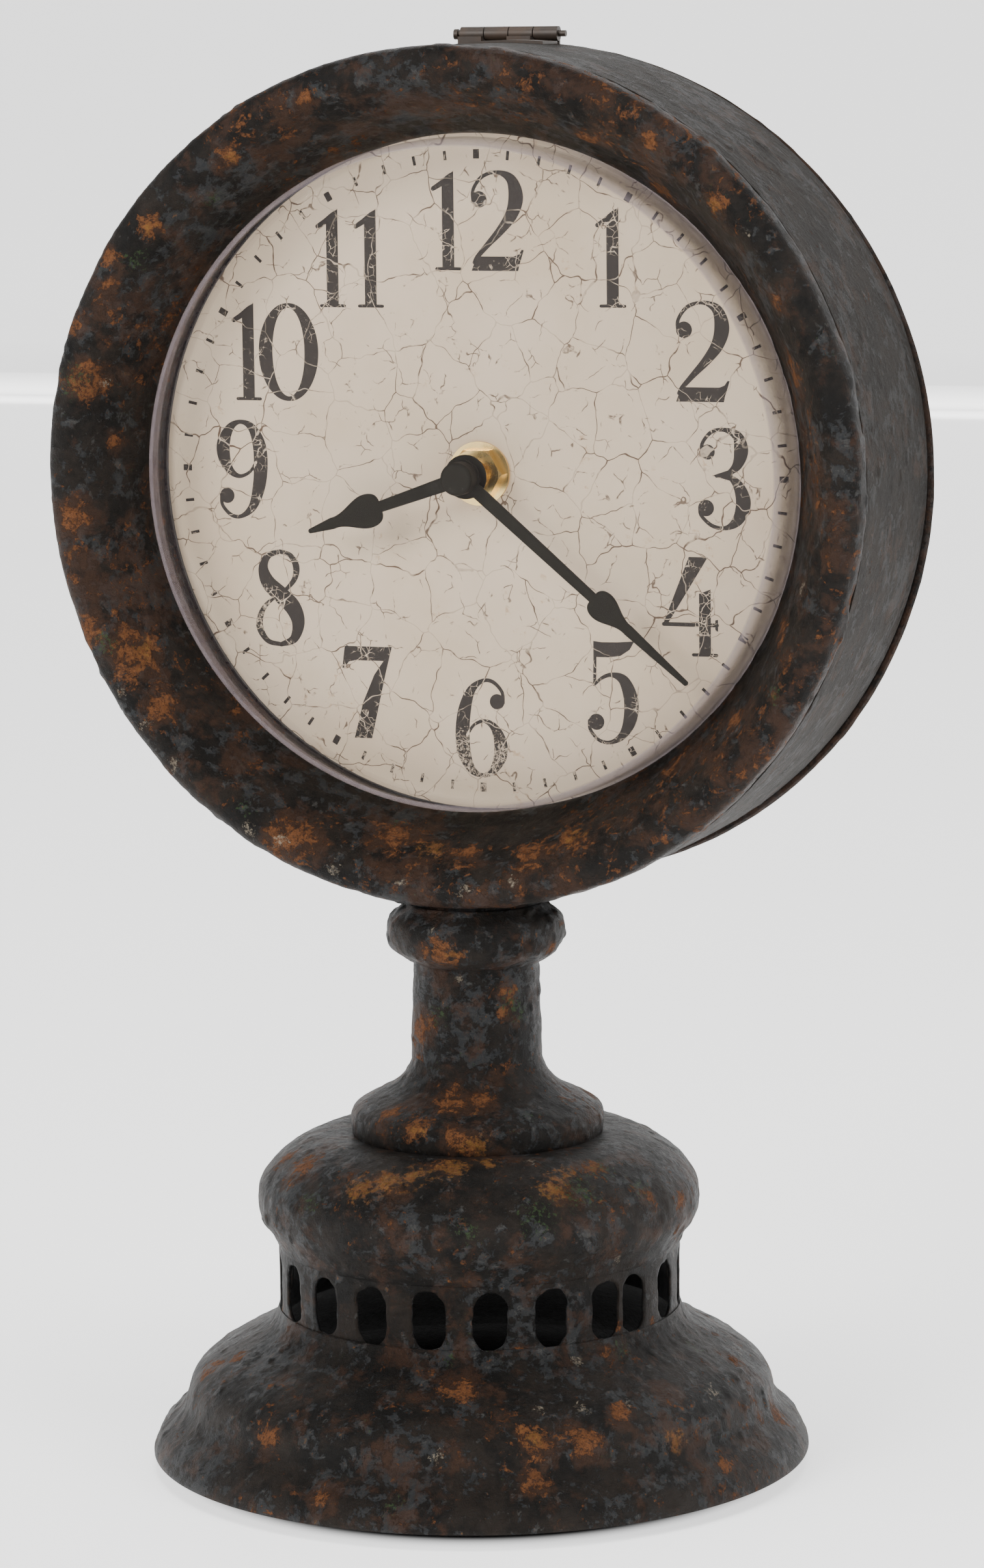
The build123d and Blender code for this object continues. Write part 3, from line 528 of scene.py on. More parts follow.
# material with one Principled shader and helpers that add nodes to it
class Paint:
    def __init__(self, name, **fixed):
        self.material = bpy.data.materials.new(name)
        self.material.use_nodes = True
        self.tree = self.material.node_tree
        self.shader = next(n for n in self.tree.nodes if n.type == "BSDF_PRINCIPLED")
        for socket, value in fixed.items():
            self.shader.inputs[socket.replace("_", " ")].default_value = value
        self.place = self.node("ShaderNodeTexCoord", {}, {}, "Object")

    # any node: its settings, then values or wires for its inputs, then the output wanted
    def node(self, kind, settings, inputs, output=0):
        made = self.tree.nodes.new(kind)
        for key, value in settings.items():
            setattr(made, key, value)
        for key, value in inputs.items():
            self.join(made.inputs[key], value)
        return Wire(self, made.outputs[output])

    # a wire is linked; a number or a colour is set on the socket
    def join(self, socket, value):
        if isinstance(value, Wire):
            self.tree.links.new(value.socket, socket)
        elif hasattr(value, "__len__") and len(value) == 3 and socket.type == "RGBA":
            socket.default_value = (*value, 1)
        else:
            socket.default_value = value

    # cloudy noise whose largest lumps are about size across, in millimetres
    def noise(self, size, detail=6.0, rough=0.6, distortion=0.0, where=None):
        return self.node("ShaderNodeTexNoise", {},
                         {"Vector": where or self.place, "Scale": 1 / (size * mm), "Detail": detail,
                          "Roughness": rough, "Distortion": distortion}, "Fac")

    # distance to the edge of the nearest cell, cells about size across
    def cells(self, size, where):
        return self.node("ShaderNodeTexVoronoi", {"feature": "DISTANCE_TO_EDGE"},
                         {"Vector": where, "Scale": 1 / (size * mm)}, "Distance")

    # 0 below low, 1 above high
    def step(self, value, low, high):
        return self.node("ShaderNodeMapRange", {"interpolation_type": "SMOOTHSTEP"},
                         {"Value": value, "From Min": low, "From Max": high})

    # x, y or z of the point
    def coordinate(self, which):
        return self.node("ShaderNodeSeparateXYZ", {}, {0: self.place}, "XYZ".index(which))

    def mix(self, factor, first, second):
        return self.node("ShaderNodeMix", {"data_type": "RGBA"}, {0: factor, 6: first, 7: second}, 2)

    # attribute of the mesh, such as how close a point is to a rust stain
    def share(self, label):
        return self.node("ShaderNodeAttribute", {"attribute_name": label}, {}, "Fac")

    # position pushed about by noise, so that lines drawn with it wander
    def wandering(self, size, amount):
        push = self.node("ShaderNodeTexNoise", {},
                         {"Vector": self.place, "Scale": 1 / (size * mm), "Detail": 2.0}, "Color")
        centred = self.node("ShaderNodeVectorMath", {"operation": "SUBTRACT"}, {0: push, 1: (0.5, 0.5, 0.5)})
        scaled = self.node("ShaderNodeVectorMath", {"operation": "SCALE"}, {0: centred, "Scale": amount * mm})
        return self.node("ShaderNodeVectorMath", {"operation": "ADD"}, {0: self.place, 1: scaled})

    def bump(self, height, distance, strength=1.0):
        normal = self.node("ShaderNodeBump", {},
                           {"Height": height, "Distance": distance * mm, "Strength": strength})
        self.join(self.shader.inputs["Normal"], normal)

    def finish(self, colour, rough=None, alpha=None):
        for socket, wire in (("Base Color", colour), ("Roughness", rough), ("Alpha", alpha)):
            if wire is not None:
                self.join(self.shader.inputs[socket], wire)
        return self.material


distressedLook = {
    "dark": (0.0055, 0.0047, 0.0040), "warmDark": (0.017, 0.0125, 0.0095),
    "slate": (0.036, 0.0355, 0.0345),
    "blue": (0.022, 0.025, 0.028), "pale": (0.066, 0.064, 0.060), "rust": (0.165, 0.062, 0.021),
    "darkRust": (0.046, 0.022, 0.0125),
    "ochre": (0.18, 0.090, 0.020), "green": (0.034, 0.058, 0.022), "chip": (0.25, 0.21, 0.155),
    # the near-black colour on the next line is painted shade, used in hollows and on inner faces
    "edge": (0.070, 0.036, 0.022), "shadeBlack": (0.0015, 0.0015, 0.0015), "drumGrey": (0.042, 0.035, 0.028),
}


# layers of old paint from bare dark to chips: a layer shows where its noise, helped by its stains, is high
def distressedPaint(name, look, rustLevel=0.0, greyLift=0.0, gloss=0.15):
    paint = Paint(name, Metallic=0.0, IOR=1.5, Specular_IOR_Level=gloss)
    fine = paint.noise(0.8, 5, 0.75)
    grain = paint.noise(2.6, 9, 0.7)
    warped = paint.wandering(6, 4)
    colour = paint.mix(paint.step(paint.noise(14, 6, 0.65), 0.40, 0.62), look["dark"], look["warmDark"])
    flakes = paint.noise(5.5, 12, 0.72, 0.3, warped)
    broad = paint.noise(24, 3, 0.5)
    slateMask = paint.step(flakes + (grain - 0.5) * 0.4 + (broad - 0.5) * 0.5, 0.52, 0.565)
    slateTone = paint.mix(paint.step(fine, 0.35, 0.65), look["slate"], look["blue"])
    colour = paint.mix(slateMask * 0.85, colour, slateTone)
    scuffs = paint.noise(3.4, 12, 0.75, 0.5)
    pale = paint.step(scuffs + (flakes - 0.5) * 0.5, 0.60, 0.65)
    colour = paint.mix(pale * 0.6, colour, look["pale"])
    rusty = paint.share("rust")
    brown = paint.step(paint.noise(9, 10, 0.7, 0.3) + rusty * 0.22 + (broad - 0.5) * 0.3, 0.53, 0.66)
    colour = paint.mix(brown * 0.7, colour, look["darkRust"])
    rustField = paint.noise(6, 12, 0.76, 0.8, warped) * 0.6 + grain * 0.4
    rustMask = paint.step(rustField + rusty * 0.15 + rustLevel, 0.590, 0.625)
    speckled = paint.step(paint.noise(1.2, 9, 0.8) * 0.8 + fine * 0.3 + rusty * 0.05, 0.50, 0.62)
    colour = paint.mix(rustMask * 0.86, colour, paint.mix(speckled, look["darkRust"], look["rust"]))
    ochreMask = paint.step(grain * 0.6 + fine * 0.1 + flakes * 0.3 + paint.share("ochre") * 0.16, 0.58, 0.68)
    ochreTone = paint.mix(paint.step(paint.noise(1.0, 9, 0.8), 0.42, 0.60), look["rust"], look["ochre"])
    colour = paint.mix(ochreMask * 0.85, colour, ochreTone)
    greenMask = paint.step(paint.noise(1.2, 6, 0.75) + paint.share("green") * 0.12, 0.62, 0.68) * \
        paint.step(paint.noise(12, 2, 0.5) + paint.share("green") * 0.35, 0.5, 0.62)
    colour = paint.mix(greenMask * 0.75, colour, look["green"])
    chipField = paint.noise(2.1, 10, 0.72, 0.6) * 0.7 + grain * 0.3
    chipMask = paint.step(chipField + paint.share("chip") * 0.2, 0.640, 0.69)
    speckle = paint.step(paint.noise(0.7, 4, 0.8), 0.44, 0.60)
    colour = paint.mix(chipMask * speckle * 0.85, colour, look["chip"])
    worn = paint.step(paint.share("ridge") * 0.30 + grain * 0.6 + fine * 0.15, 0.60, 0.72)
    colour = paint.mix(worn * 0.5, colour, look["edge"])
    # concave places mixed towards near-black: painted shade in the hollows and creases
    hollowShade = paint.step(paint.share("ridge") * -1, 0.05, 0.8)
    colour = paint.mix(hollowShade * 0.6, colour, look["shadeBlack"])
    if greyLift:
        colour = paint.mix(greyLift, colour, look["drumGrey"])
    # inner faces of every wall mixed almost fully to near-black: painted shade inside the hollow pieces
    colour = paint.mix(paint.share("inner") * 0.93, colour, look["shadeBlack"])
    tone = 0.6 + paint.noise(1.1, 6, 0.75) * 0.8
    colour = paint.node("ShaderNodeMix", {"data_type": "RGBA", "blend_type": "MULTIPLY"},
                        {0: 1.0, 6: colour, 7: tone}, 2)
    folds = paint.noise(2.0, 8, 0.7, 1.2) - 0.5
    wrinkles = paint.node("ShaderNodeMath", {"operation": "ABSOLUTE"}, {0: folds})
    relief = flakes * 0.5 + rustMask * 0.15 - chipMask * 0.15 + slateMask * 0.16
    relief = relief + grain * 0.7 - wrinkles * 1.1 + fine * 0.25
    paint.bump(relief, 1.2, 1.0)
    rough = 0.36 + fine * 0.2 + rustMask * 0.25 - slateMask * 0.04
    return paint.finish(colour, rough)


oldPaint = distressedPaint("old_paint", distressedLook)
drumPaint = distressedPaint("drum_paint", distressedLook, rustLevel=-0.015, greyLift=0.3, gloss=0.03)
print("paint materials made")


# drawn in thin lines along the edges of wandering cells, broken up where the noise is low
def crackLines(paint):
    wander = paint.wandering(9, 6)
    wide = paint.cells(15, wander)
    small = paint.cells(7.5, paint.wandering(5, 4))
    presence = paint.step(paint.noise(10, 4, 0.6), 0.44, 0.56)
    presenceSmall = paint.step(paint.noise(7, 4, 0.65), 0.50, 0.60)
    wideLine = (1 - paint.step(wide, 0.004, 0.0115)) * (0.3 + presence * 0.7)
    smallLine = (1 - paint.step(small, 0.008, 0.020)) * presenceSmall
    return wideLine, smallLine


dialLook = {"light": (0.60, 0.49, 0.37), "cream": (0.555, 0.440, 0.320), "warm": (0.50, 0.385, 0.265),
            "crack": (0.085, 0.048, 0.026),
            "stain": (0.36, 0.21, 0.10), "ink": (0.012, 0.0085, 0.0055), "inkThin": (0.026, 0.019, 0.013)}


# printed paper: cream clouded by noise, brown blotches and specks, then the crackle
def dialPaint(look):
    paint = Paint("dial_paper", Specular_IOR_Level=0.35)
    wideLine, smallLine = crackLines(paint)
    cream = paint.mix(paint.step(paint.noise(40, 4, 0.6), 0.35, 0.7), look["cream"], look["warm"])
    cream = paint.mix(paint.noise(2, 6, 0.7) * 0.25, cream, look["light"])
    stainField = paint.noise(22, 3, 0.5)
    blotch = paint.step(paint.noise(3.4, 8, 0.72), 0.585, 0.67) * paint.step(stainField, 0.52, 0.64)
    colour = paint.mix(blotch * 0.55, cream, look["stain"])
    specks = paint.step(paint.noise(0.8, 3, 0.7), 0.70, 0.74) * paint.step(paint.noise(6, 2, 0.5), 0.48, 0.6)
    colour = paint.mix(specks * 0.6, colour, look["crack"])
    colour = paint.mix(wideLine, colour, look["crack"])
    colour = paint.mix(smallLine * 0.9, colour, look["crack"])
    paint.bump(1 - wideLine - smallLine * 0.5, 0.05, 0.35)
    return paint.finish(colour, 0.5 + paint.noise(3, 4, 0.6) * 0.14)


# printed ink, showing the cream where the crackle crosses it or it is rubbed
def inkPaint(look):
    paint = Paint("dial_ink", Specular_IOR_Level=0.3)
    wideLine, smallLine = crackLines(paint)
    worn = paint.share("worn")
    tiny = paint.cells(2.6, paint.wandering(3, 2.2))
    tinyPlaces = paint.step(paint.noise(7, 3, 0.6) + worn * 0.12, 0.50, 0.60)
    tinyLine = (1 - paint.step(tiny, 0.006, 0.034)) * tinyPlaces
    rubbed = paint.step(paint.noise(0.9, 6, 0.8) + worn * 0.10, 0.60, 0.66)
    rubbed = rubbed * paint.step(paint.noise(6, 3, 0.6) + worn * 0.25, 0.46, 0.62)
    ink = paint.mix(paint.noise(1.5, 5, 0.7), look["ink"], look["inkThin"])
    colour = paint.mix(rubbed * 0.7, ink, look["cream"])
    colour = paint.mix(wideLine * 0.7, colour, look["cream"])
    colour = paint.mix(smallLine * 0.8, colour, look["cream"])
    colour = paint.mix(tinyLine * 0.75, colour, look["cream"])
    return paint.finish(colour, 0.55 + paint.noise(2, 4, 0.6) * 0.1)


crystalLook = {
    # the wall's tones here are painted reflection, and the dark line colour is painted shade
    "sheenTone": (0.13, 0.105, 0.115), "paleSheenTone": (0.25, 0.21, 0.225), "line": (0.03, 0.024, 0.024),
    "crownEdge": 91.4, "wallStart": 92.2, "sheenEnd": -2.4, "clearStart": -1.2, "shadeLineStart": -1.6,
    "shadeLineEnd": 0.1,
}


# clear moulding: nearly invisible crown; its outer wall carries a painted grey-purple sheen standing for
# reflection, down to a painted shade line on the left, and all the way down on the right
def crystalPaint(look):
    paint = Paint("clear_moulding", IOR=1.49, Roughness=0.03, Specular_IOR_Level=0.16)
    across, upward = paint.coordinate("X"), paint.coordinate("Z") - dialHeight
    out = (across * across + upward * upward) ** 0.5
    depth = paint.coordinate("Y")
    outer = paint.step(out, look["crownEdge"] * mm, look["wallStart"] * mm)
    left = 1 - paint.step(across, 5 * mm, 60 * mm)
    # the wall's grey-purple colour is painted reflection, kept full height on the right and cut off low on
    # the left
    wall = outer * (1 - paint.step(depth, look["sheenEnd"] * mm, look["clearStart"] * mm) * left)
    # dark line low on the wall, on the left only: painted shade
    line = outer * left * paint.step(depth, look["shadeLineStart"] * mm, look["clearStart"] * mm)
    line = line * (1 - paint.step(depth, (look["shadeLineEnd"] - 0.5) * mm, look["shadeLineEnd"] * mm))
    streak = paint.noise(4, 4, 0.6)
    colour = paint.mix(streak, look["sheenTone"], look["paleSheenTone"])
    colour = paint.mix(line, colour, look["line"])
    alpha = 0.02 + wall * (0.42 + streak * 0.25) + line * 0.4
    return paint.finish(colour, 0.03 + wall * 0.14, alpha)


# plain metal or plastic with a fine grain, handling marks and a little dirt
def plainPaint(name, colour, dark, rough, metallic=0.0, size=1.4, bump=0.02, gloss=0.5):
    paint = Paint(name, Metallic=metallic, Specular_IOR_Level=gloss)
    grain = paint.noise(size, 6, 0.65)
    marks = paint.step(paint.noise(size * 7, 5, 0.65), 0.45, 0.7)
    tone = paint.mix(grain * 0.5 + marks * 0.4, colour, dark)
    paint.bump(grain, bump, 0.5)
    return paint.finish(tone, rough + grain * 0.12 + marks * 0.08)


plainLooks = {
    "dark_hardware": ((0.030, 0.025, 0.021), (0.075, 0.045, 0.028), 0.42, 0.3, 1.2, 0.06),
    "zinc_steel": ((0.52, 0.52, 0.50), (0.36, 0.35, 0.32), 0.32, 1.0, 1.0, 0.02),
    "magnet": ((0.14, 0.14, 0.15), (0.08, 0.08, 0.085), 0.45, 0.6, 0.6, 0.03),
    "rubber": ((0.025, 0.025, 0.026), (0.045, 0.044, 0.043), 0.62, 0.0, 0.8, 0.02),
    "case_plastic": ((0.020, 0.020, 0.022), (0.034, 0.034, 0.036), 0.42, 0.0, 0.5, 0.02),
    "brass": ((0.95, 0.70, 0.30), (0.74, 0.50, 0.18), 0.16, 1.0, 1.6, 0.01),
    "wheel_plastic": ((0.74, 0.71, 0.60), (0.62, 0.58, 0.47), 0.40, 0.0, 0.8, 0.01),
    "board": ((0.22, 0.13, 0.05), (0.15, 0.085, 0.035), 0.50, 0.0, 0.7, 0.02),
    "copper_winding": ((0.60, 0.24, 0.09), (0.36, 0.13, 0.05), 0.30, 1.0, 0.4, 0.05),
    "cell_wrap": ((0.055, 0.065, 0.085), (0.035, 0.042, 0.055), 0.25, 0.0, 2.0, 0.01),
    "hand_black": ((0.0085, 0.0080, 0.0050), (0.015, 0.0140, 0.0095), 0.6, 0.0, 0.5, 0.03, 0.1),
}
plainPaints = {name: plainPaint(name, *look) for name, look in plainLooks.items()}
paper = dialPaint(dialLook)
ink = inkPaint(dialLook)
clear = crystalPaint(crystalLook)
slotOf = {part["node"]: part["material_slot"] for part in frame["record"]["subparts"]}
paints = {**plainPaints, "distressed_paint": oldPaint, "dial_print": paper, "crystal_plastic": clear}
for node, piece in frame["nodes"].items():
    piece.data.materials.clear()
    piece.data.materials.append(paints[slotOf[node]])
for piece in bpy.data.objects:
    if piece.name.endswith("_visual"):
        piece.data.materials.append(drumPaint if piece.name.startswith("drum") else oldPaint)
print("materials set")


# numerals of the dial: brush strokes given as x, z and stroke width, plain shapes as corners, and round
# blobs as x, z and radius, all in millimetres from the middle of the figure
one = {
    "shapes": [[(-1.75, -13.2), (1.75, -13.2), (1.75, 13.9), (0.9, 12.9), (-1.75, 10.9)]],
    "strokes": [[(1.4, 13.3, 0.4), (0.2, 12.2, 1.2), (-2.0, 10.3, 1.5), (-4.3, 8.9, 1.3)],
                [(-3.5, -13.4, 0.85), (0, -13.35, 0.9), (3.5, -13.4, 0.85)]],
}
figures = {
    "1": one,
    "2": {"blobs": [(-5.3, 5.9, 2.3)],
          "strokes": [[(-6.9, 5.4, 1.3), (-7.0, 8.6, 1.0), (-4.3, 12.2, 1.1), (0.2, 13.4, 1.1),
                       (4.2, 11.5, 2.9), (5.6, 6.8, 4.3), (4.4, 2.0, 3.7), (1.2, -2.4, 2.6),
                       (-2.8, -6.6, 1.7), (-5.9, -10.0, 1.3), (-6.9, -11.6, 1.0)]],
          "shapes": [[(-7.7, -13.9), (6.1, -13.9), (6.5, -12.2), (7.8, -8.1), (7.2, -8.0), (6.3, -9.3),
                      (4.8, -9.9), (-6.2, -9.9)]]},
    "3": {"blobs": [(-4.7, 7.4, 2.1), (-5.2, -8.1, 2.3)],
          "strokes": [[(-6.2, 7.2, 1.2), (-6.2, 9.8, 1.0), (-3.6, 12.9, 1.1), (0.2, 13.6, 1.2),
                       (3.9, 11.9, 2.9), (5.0, 8.0, 4.1), (3.9, 4.0, 2.9), (1.4, 1.7, 1.4),
                       (-1.2, 0.8, 0.8)], [(-2.2, 0.7, 0.7), (1.4, 0.6, 1.3), (4.2, -1.9, 3.1),
                                           (5.6, -6.6, 4.3), (4.0, -11.2, 3.2), (0.6, -13.5, 1.3),
                                           (-3.4, -13.0, 1.1), (-6.6, -10.2, 1.0), (-6.9, -8.0, 1.2)]],
          "shapes": [[(-3.4, 0.9), (2.4, -0.6), (2.6, 2.9)]]},
    "4": {"shapes": [[(-0.3, 13.9), (5.2, 13.9), (-6.3, -4.5), (-8.0, -4.5), (-8.0, -5.2)],
                     [(2.6, -13.0), (6.0, -13.0), (6.0, 5.0), (2.6, 3.7)],
                     [(7.3, -6.6), (8.1, -6.7), (8.1, -3.4), (7.3, -3.6)]],
          "strokes": [[(-7.7, -5.0, 1.1), (0, -5.0, 1.1), (7.8, -5.0, 1.1)],
                      [(0.9, -13.4, 0.9), (4.3, -13.35, 0.9), (7.7, -13.4, 0.9)]]},
    "5": {"blobs": [(-5.0, -8.2, 2.3)],
          "shapes": [[(-5.8, 14.6), (-3.4, 14.3), (1.2, 14.4), (6.3, 14.8), (4.9, 12.4), (2.2, 10.6),
                      (-1.4, 10.1), (-5.0, 10.1), (-5.2, 4), (-5.7, 4)]],
          "strokes": [[(-5.3, 14.0, 0.9), (-5.35, 8.0, 0.9), (-5.5, 2.4, 0.9)],
                      [(-5.6, 2.2, 0.7), (-3.2, 4.3, 1.0), (-0.2, 5.2, 1.4), (3.2, 3.6, 3.1),
                       (5.2, -1.6, 4.2), (4.9, -7.2, 3.9), (2.8, -11.6, 2.4), (-0.6, -13.8, 1.2),
                       (-4.2, -13.4, 1.0), (-6.8, -10.6, 1.0), (-7.0, -8.0, 1.2)]]},
    "6": {"blobs": [(4.8, 7.6, 2.2)],
          "strokes": [[(6.5, 7.4, 1.2), (6.3, 10.4, 1.0), (3.6, 13.2, 1.1), (0.4, 13.4, 1.2),
                       (-3.0, 10.6, 2.5), (-5.0, 5.0, 3.8), (-5.7, -1.5, 4.2), (-5.2, -7.4, 3.9),
                       (-3.0, -12.0, 2.4), (0.3, -13.5, 1.2), (3.4, -12.0, 2.3), (5.6, -7.8, 3.9),
                       (5.6, -3.6, 3.8), (3.9, 0.2, 2.4), (1.0, 2.0, 1.2), (-2.2, 0.8, 0.9),
                       (-4.2, -2.0, 0.8)]]},
    "7": {"shapes": [[(-6.7, 13.4), (-5.6, 12.9), (6.2, 12.9), (7.7, 13.4), (5.6, 5.4), (3.6, -3.2),
                      (1.2, -13.4), (-4.1, -13.4), (-1.4, -3.2), (2.1, 4.8), (5.0, 8.9), (-3.6, 8.9),
                      (-5.6, 8.4), (-7.0, 6.5), (-7.6, 6.6)]]},
    "8": {"strokes": [[(0.2, 13.3, 1.2), (-3.4, 12.0, 1.9), (-5.0, 8.6, 2.9), (-3.6, 4.4, 4.3),
                       (0.2, 0.9, 4.9), (3.9, -2.6, 4.9), (5.5, -7.0, 3.9), (4.1, -11.6, 2.5),
                       (0.2, -13.4, 1.3)],
                      [(0.2, -13.4, 1.2), (-4.0, -12.4, 1.5), (-6.4, -8.4, 2.1), (-5.5, -3.8, 1.6),
                       (-2.6, -0.6, 1.1), (1.6, 2.2, 1.1), (4.6, 5.6, 1.6), (5.1, 9.2, 2.0),
                       (3.4, 12.2, 1.5), (0.2, 13.3, 1.2)]]},
    "0": {"ring": (7.0, 13.2, 1.3, 4.2)},
}
figures["9"] = {"turned": "6"}
dialPlaces = [
    ("1", -8.6, 70.5), ("2", 6.0, 70.5), ("1", 39.8, 60.5), ("2", 65.7, 34.9), ("3", 71.7, -0.2),
    ("4", 61.7, -35.9), ("5", 39.0, -60.9),
    ("6", -0.4, -72.1), ("7", -34.8, -62.9), ("8", -61.2, -36.8), ("9", -72.1, -0.2), ("1", -69.6, 33.3),
    ("0", -57.3, 33.3),
    ("1", -43.5, 59.9), ("1", -32.0, 59.9),
]
trackLook = {"radius": 89.0, "length": 2.6, "width": 0.85, "hourWidth": 1.75, "thick": 0.03}


# outline of a stroke: its middle line widened to both sides, with rounded ends
def strokeOutline(rough):
    line = smoothLine(rough, 0.45)
    tangent = np.gradient(line[:, :2], axis=0)
    tangent /= np.linalg.norm(tangent, axis=1)[:, None]
    side = np.stack([-tangent[:, 1], tangent[:, 0]], 1)
    half = line[:, 2:] / 2
    turn = np.linspace(0, math.pi, 7)[1:-1, None]
    ends = [line[k, :2] + half[k] * (np.cos(turn) * side[k] * sign + np.sin(turn) * tangent[k] * sign)
            for k, sign in ((-1, 1), (0, -1))]
    return np.concatenate([line[:, :2] + side * half, ends[0], (line[:, :2] - side * half)[::-1], ends[1]])


# front outline of every plate of ink with how its face is filled; plates that may overlap stand in turn
# on thin layers of their own
def inkPlates(look):
    pieces = []

    def add(front, faces, layer):
        count = len(front)
        depth = dialFront - 0.02 * mm - layer * 0.0015 * mm
        near = np.stack([front[:, 0], np.full(count, depth - look["thick"] * mm), front[:, 1]], 1)
        far = near + [0, look["thick"] * mm, 0]
        pieces.append((np.concatenate([near, far]), faces, count))

    layer = 0
    blobTurn = np.arange(24) * 2 * math.pi / 24
    blobEdge = np.stack([np.cos(blobTurn), np.sin(blobTurn)], 1)
    for figure, x, z in dialPlaces:
        shape, sign = figures[figure], 1
        if "turned" in shape:
            shape, sign = figures[shape["turned"]], -1
        outlines = [np.array(s, float) for s in shape.get("shapes", ())]
        outlines += [strokeOutline(s) for s in shape.get("strokes", ())]
        for blobX, blobZ, blobRadius in shape.get("blobs", ()):
            outlines.append(np.array([blobX, blobZ]) + blobRadius * blobEdge)
        for outline in outlines:
            add((outline * sign + [x, z]) * mm + [0, dialHeight], "fill", layer % 12)
            layer += 1
        if "ring" in shape:
            wide, tall, thin, thick = shape["ring"]
            turn = np.arange(96) * 2 * math.pi / 96
            middle = np.stack([wide * np.cos(turn), tall * np.sin(turn)], 1)
            half = (thin + (thick - thin) * np.abs(np.cos(turn)) ** 1.5)[:, None] / 2
            away = np.stack([np.cos(turn) / wide, np.sin(turn) / tall], 1)
            away /= np.linalg.norm(away, axis=1)[:, None]
            both = np.concatenate([middle + away * half, middle - away * half])
            add((both + [x, z]) * mm + [0, dialHeight], "ring", layer % 12)
            layer += 1
    for tick in range(60):
        turn = math.radians(tick * 6)
        width = look["hourWidth"] if tick % 5 == 0 else look["width"]
        across = np.array([math.cos(turn), -math.sin(turn)])
        outward = np.array([math.sin(turn), math.cos(turn)])
        corners = [across * width / 2 * i + outward * (look["radius"] + look["length"] / 2 * k)
                   for i, k in ((-1, -1), (1, -1), (1, 1), (-1, 1))]
        add(np.array(corners) * mm + [0, dialHeight], "fill", 0)
    return pieces


# the plates joined in one mesh; a filled outline is split into triangles by Blender's own filler
def inkPiece(look):
    points, faces, offset = [], {3: [], 4: []}, 0
    for block, kind, count in inkPlates(look):
        points.append(block)
        if kind == "fill":
            corners = [Vector((p[0], p[2], 0)) / mm for p in block[:count]]
            triangles = np.array(tessellate_polygon([corners]))
            first = block[:count][triangles[0]]
            turning = np.cross(first[1] - first[0], first[2] - first[0])[1]
            triangles = triangles if turning < 0 else triangles[:, ::-1]
            faces[3] += [triangles + offset, triangles[:, ::-1] + count + offset]
            edge = np.arange(count)
            after = (edge + 1) % count
            area = np.sum(block[edge, 0] * block[after, 2] - block[after, 0] * block[edge, 2])
            wall = np.stack([edge, after, after + count, edge + count], 1)
            faces[4].append((wall if area < 0 else wall[:, ::-1]) + offset)
        else:
            half = count // 2
            edge = np.arange(half)
            after = (edge + 1) % half
            face = np.stack([edge, edge + half, after + half, after], 1)
            outside = np.stack([after, after + count, edge + count, edge], 1)
            hole = np.stack([edge, edge + count, after + count, after], 1) + half
            faces[4] += [face + offset, face[:, ::-1] + count + offset, outside + offset, hole + offset]
        offset += 2 * count
    points = np.concatenate(points)
    x, z = points[:, 0] / mm, (points[:, 2] - dialHeight) / mm
    tiredFoot = fade(-z, 66, 80) * fade(-np.abs(x), -52, -30)
    tiredSide = fade(-x, 58, 66) * fade(-np.abs(z + 40), -10, -4)
    return meshPiece("numerals_ink", points, [np.concatenate(faces[3]), np.concatenate(faces[4])], "stand",
                     smooth=False, shares={"worn": np.maximum(tiredFoot, tiredSide)})


numerals = inkPiece(trackLook)
numerals.data.materials.append(ink)
print("numerals drawn")



floorLook = {
    "bend": [(-6.0, 0), (2.6, 0), (3.6, 0.06), (4.4, 0.4), (4.85, 1.2), (4.95, 5.0)], "halfWidth": 6.0,
    "tone": (0.86, 0.855, 0.85), "paleTone": (0.90, 0.895, 0.89), "shadeUnderFoot": (0.02, 0.02, 0.02),
    "darkRadius": 80, "paleRadius": 89,
}
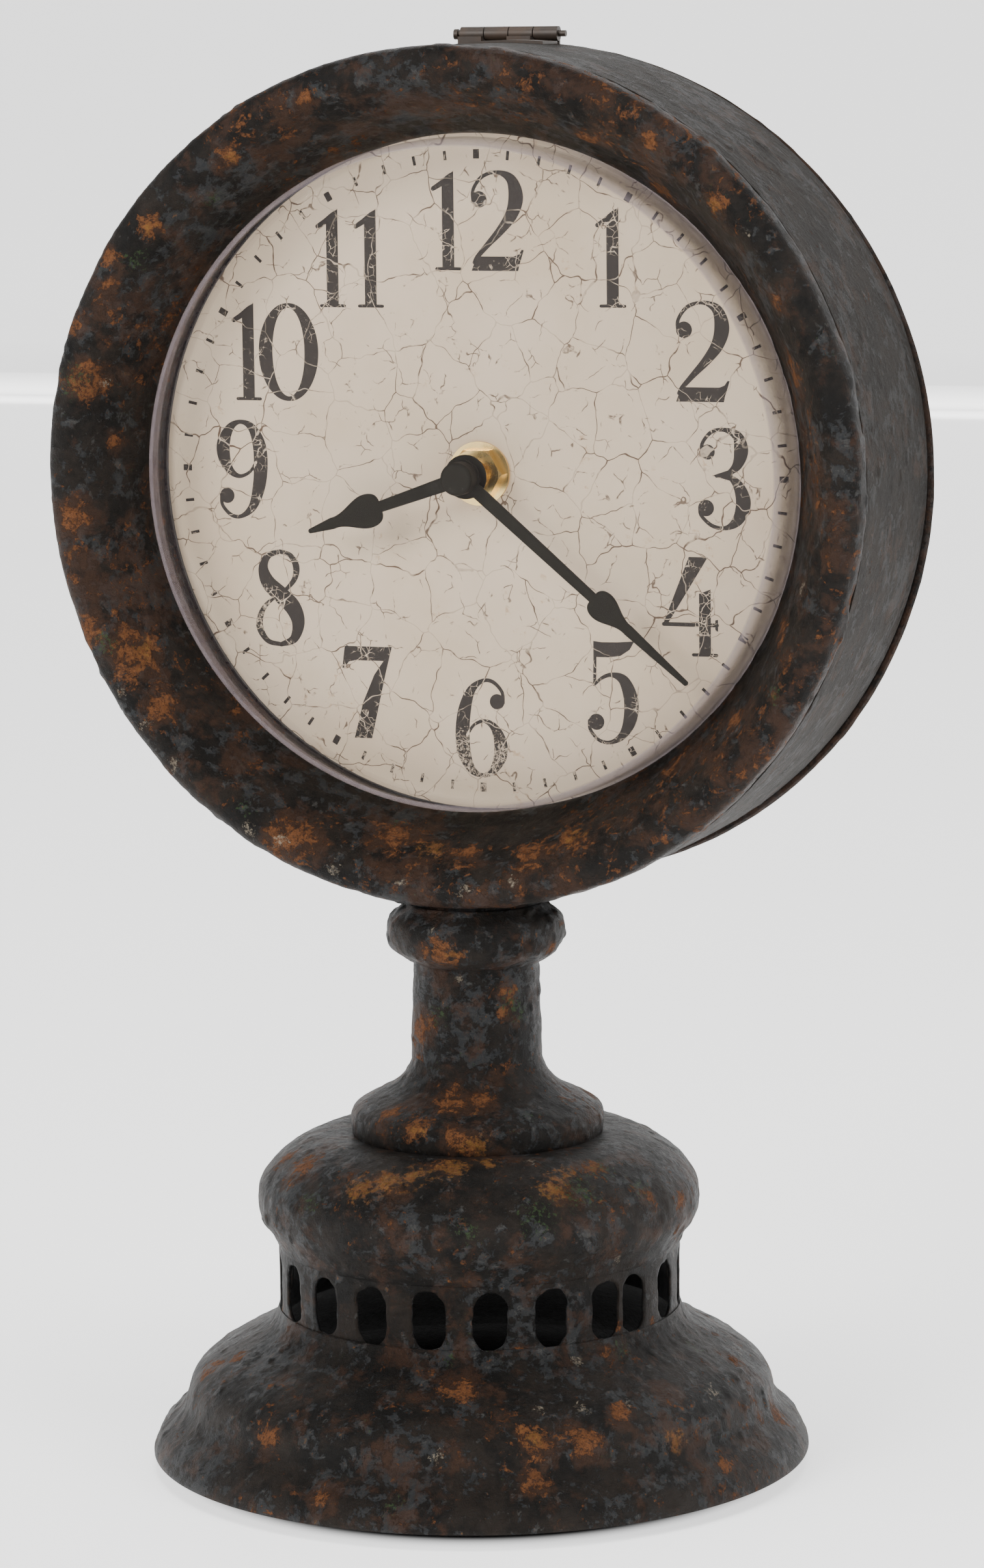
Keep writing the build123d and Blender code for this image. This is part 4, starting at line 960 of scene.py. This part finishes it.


# level floor that bends up into a wall far behind and glows evenly; inside the clock's foot it is dark and
# unlit, a painted shadow under the foot
def paleFloor(look):
    paint = Paint("pale_floor", Roughness=0.85, Emission_Strength=1.2)
    tone = paint.mix(paint.noise(300, 3, 0.5), look["tone"], look["paleTone"])
    bend = smoothLine(look["bend"], 0.15)
    points = np.array([[x, y, z] for y, z in bend for x in (-look["halfWidth"], look["halfWidth"])])
    row = np.arange(len(bend) - 1)[:, None] * 2
    mesh = bpy.data.meshes.new("floor")
    mesh.from_pydata(points.tolist(), [], (row + [[0, 1, 3, 2]]).tolist())
    mesh.shade_smooth()
    floor = bpy.data.objects.new("floor", mesh)
    bpy.context.scene.collection.objects.link(floor)
    sideways, inward = paint.coordinate("X"), paint.coordinate("Y")
    out = (sideways * sideways + inward * inward) ** 0.5
    # dark disc inside the foot's radius: painted shadow under the clock
    far = paint.step(out, look["darkRadius"] * mm, look["paleRadius"] * mm)
    paint.join(paint.shader.inputs["Emission Color"], paint.mix(far, (0, 0, 0), (1, 1, 1)))
    floor.data.materials.append(paint.finish(paint.mix(far, look["shadeUnderFoot"], tone)))


paleFloor(floorLook)

lampLooks = {
    "front_box": {"at": (-1.1, -2.2, 1.5), "size": 1.2, "power": 66},
    "right_box": {"at": (1.9, -0.9, 1.0), "size": 0.9, "power": 22},
    "top_box": {"at": (0.1, -0.2, 2.2), "size": 1.0, "power": 30},
}
for name, look in lampLooks.items():
    light = bpy.data.lights.new(name, "AREA")
    light.shape = "SQUARE"
    light.size = look["size"]
    light.energy = look["power"]
    lamp = bpy.data.objects.new(name, light)
    bpy.context.scene.collection.objects.link(lamp)
    lamp.location = look["at"]
    toClock = Vector((0, 0, 0.25)) - Vector(look["at"])
    lamp.rotation_euler = toClock.to_track_quat("-Z", "Y").to_euler()
world = bpy.data.worlds.new("studio")
world.use_nodes = True
world.node_tree.nodes["Background"].inputs["Color"].default_value = (1, 1, 1, 1)
world.node_tree.nodes["Background"].inputs["Strength"].default_value = 0.32
bpy.context.scene.world = world

viewLook = {"at": (0.5021, -1.3552, 0.4065), "turn": 20.125, "down": 8.501, "roll": -0.666,
            "lens": 119.17}


# camera looking level along +Y, turned to the left, dipped and rolled
def addCamera(look):
    lens = bpy.data.cameras.new("camera")
    lens.lens = look["lens"]
    lens.sensor_width = 36
    lens.clip_start, lens.clip_end = 0.05, 20
    camera = bpy.data.objects.new("camera", lens)
    bpy.context.scene.collection.objects.link(camera)
    turn, down = math.radians(look["turn"]), math.radians(look["down"])
    ahead = Vector((-math.sin(turn) * math.cos(down), math.cos(turn) * math.cos(down), -math.sin(down)))
    right = Vector((math.cos(turn), math.sin(turn), 0))
    up = right.cross(ahead)
    roll = math.radians(look["roll"])
    rolledRight = right * math.cos(roll) + up * math.sin(roll)
    rolledUp = up * math.cos(roll) - right * math.sin(roll)
    facing = Matrix((rolledRight, rolledUp, -ahead)).transposed().to_4x4()
    camera.matrix_world = Matrix.Translation(look["at"]) @ facing
    bpy.context.scene.camera = camera


addCamera(viewLook)
print("scene ready")
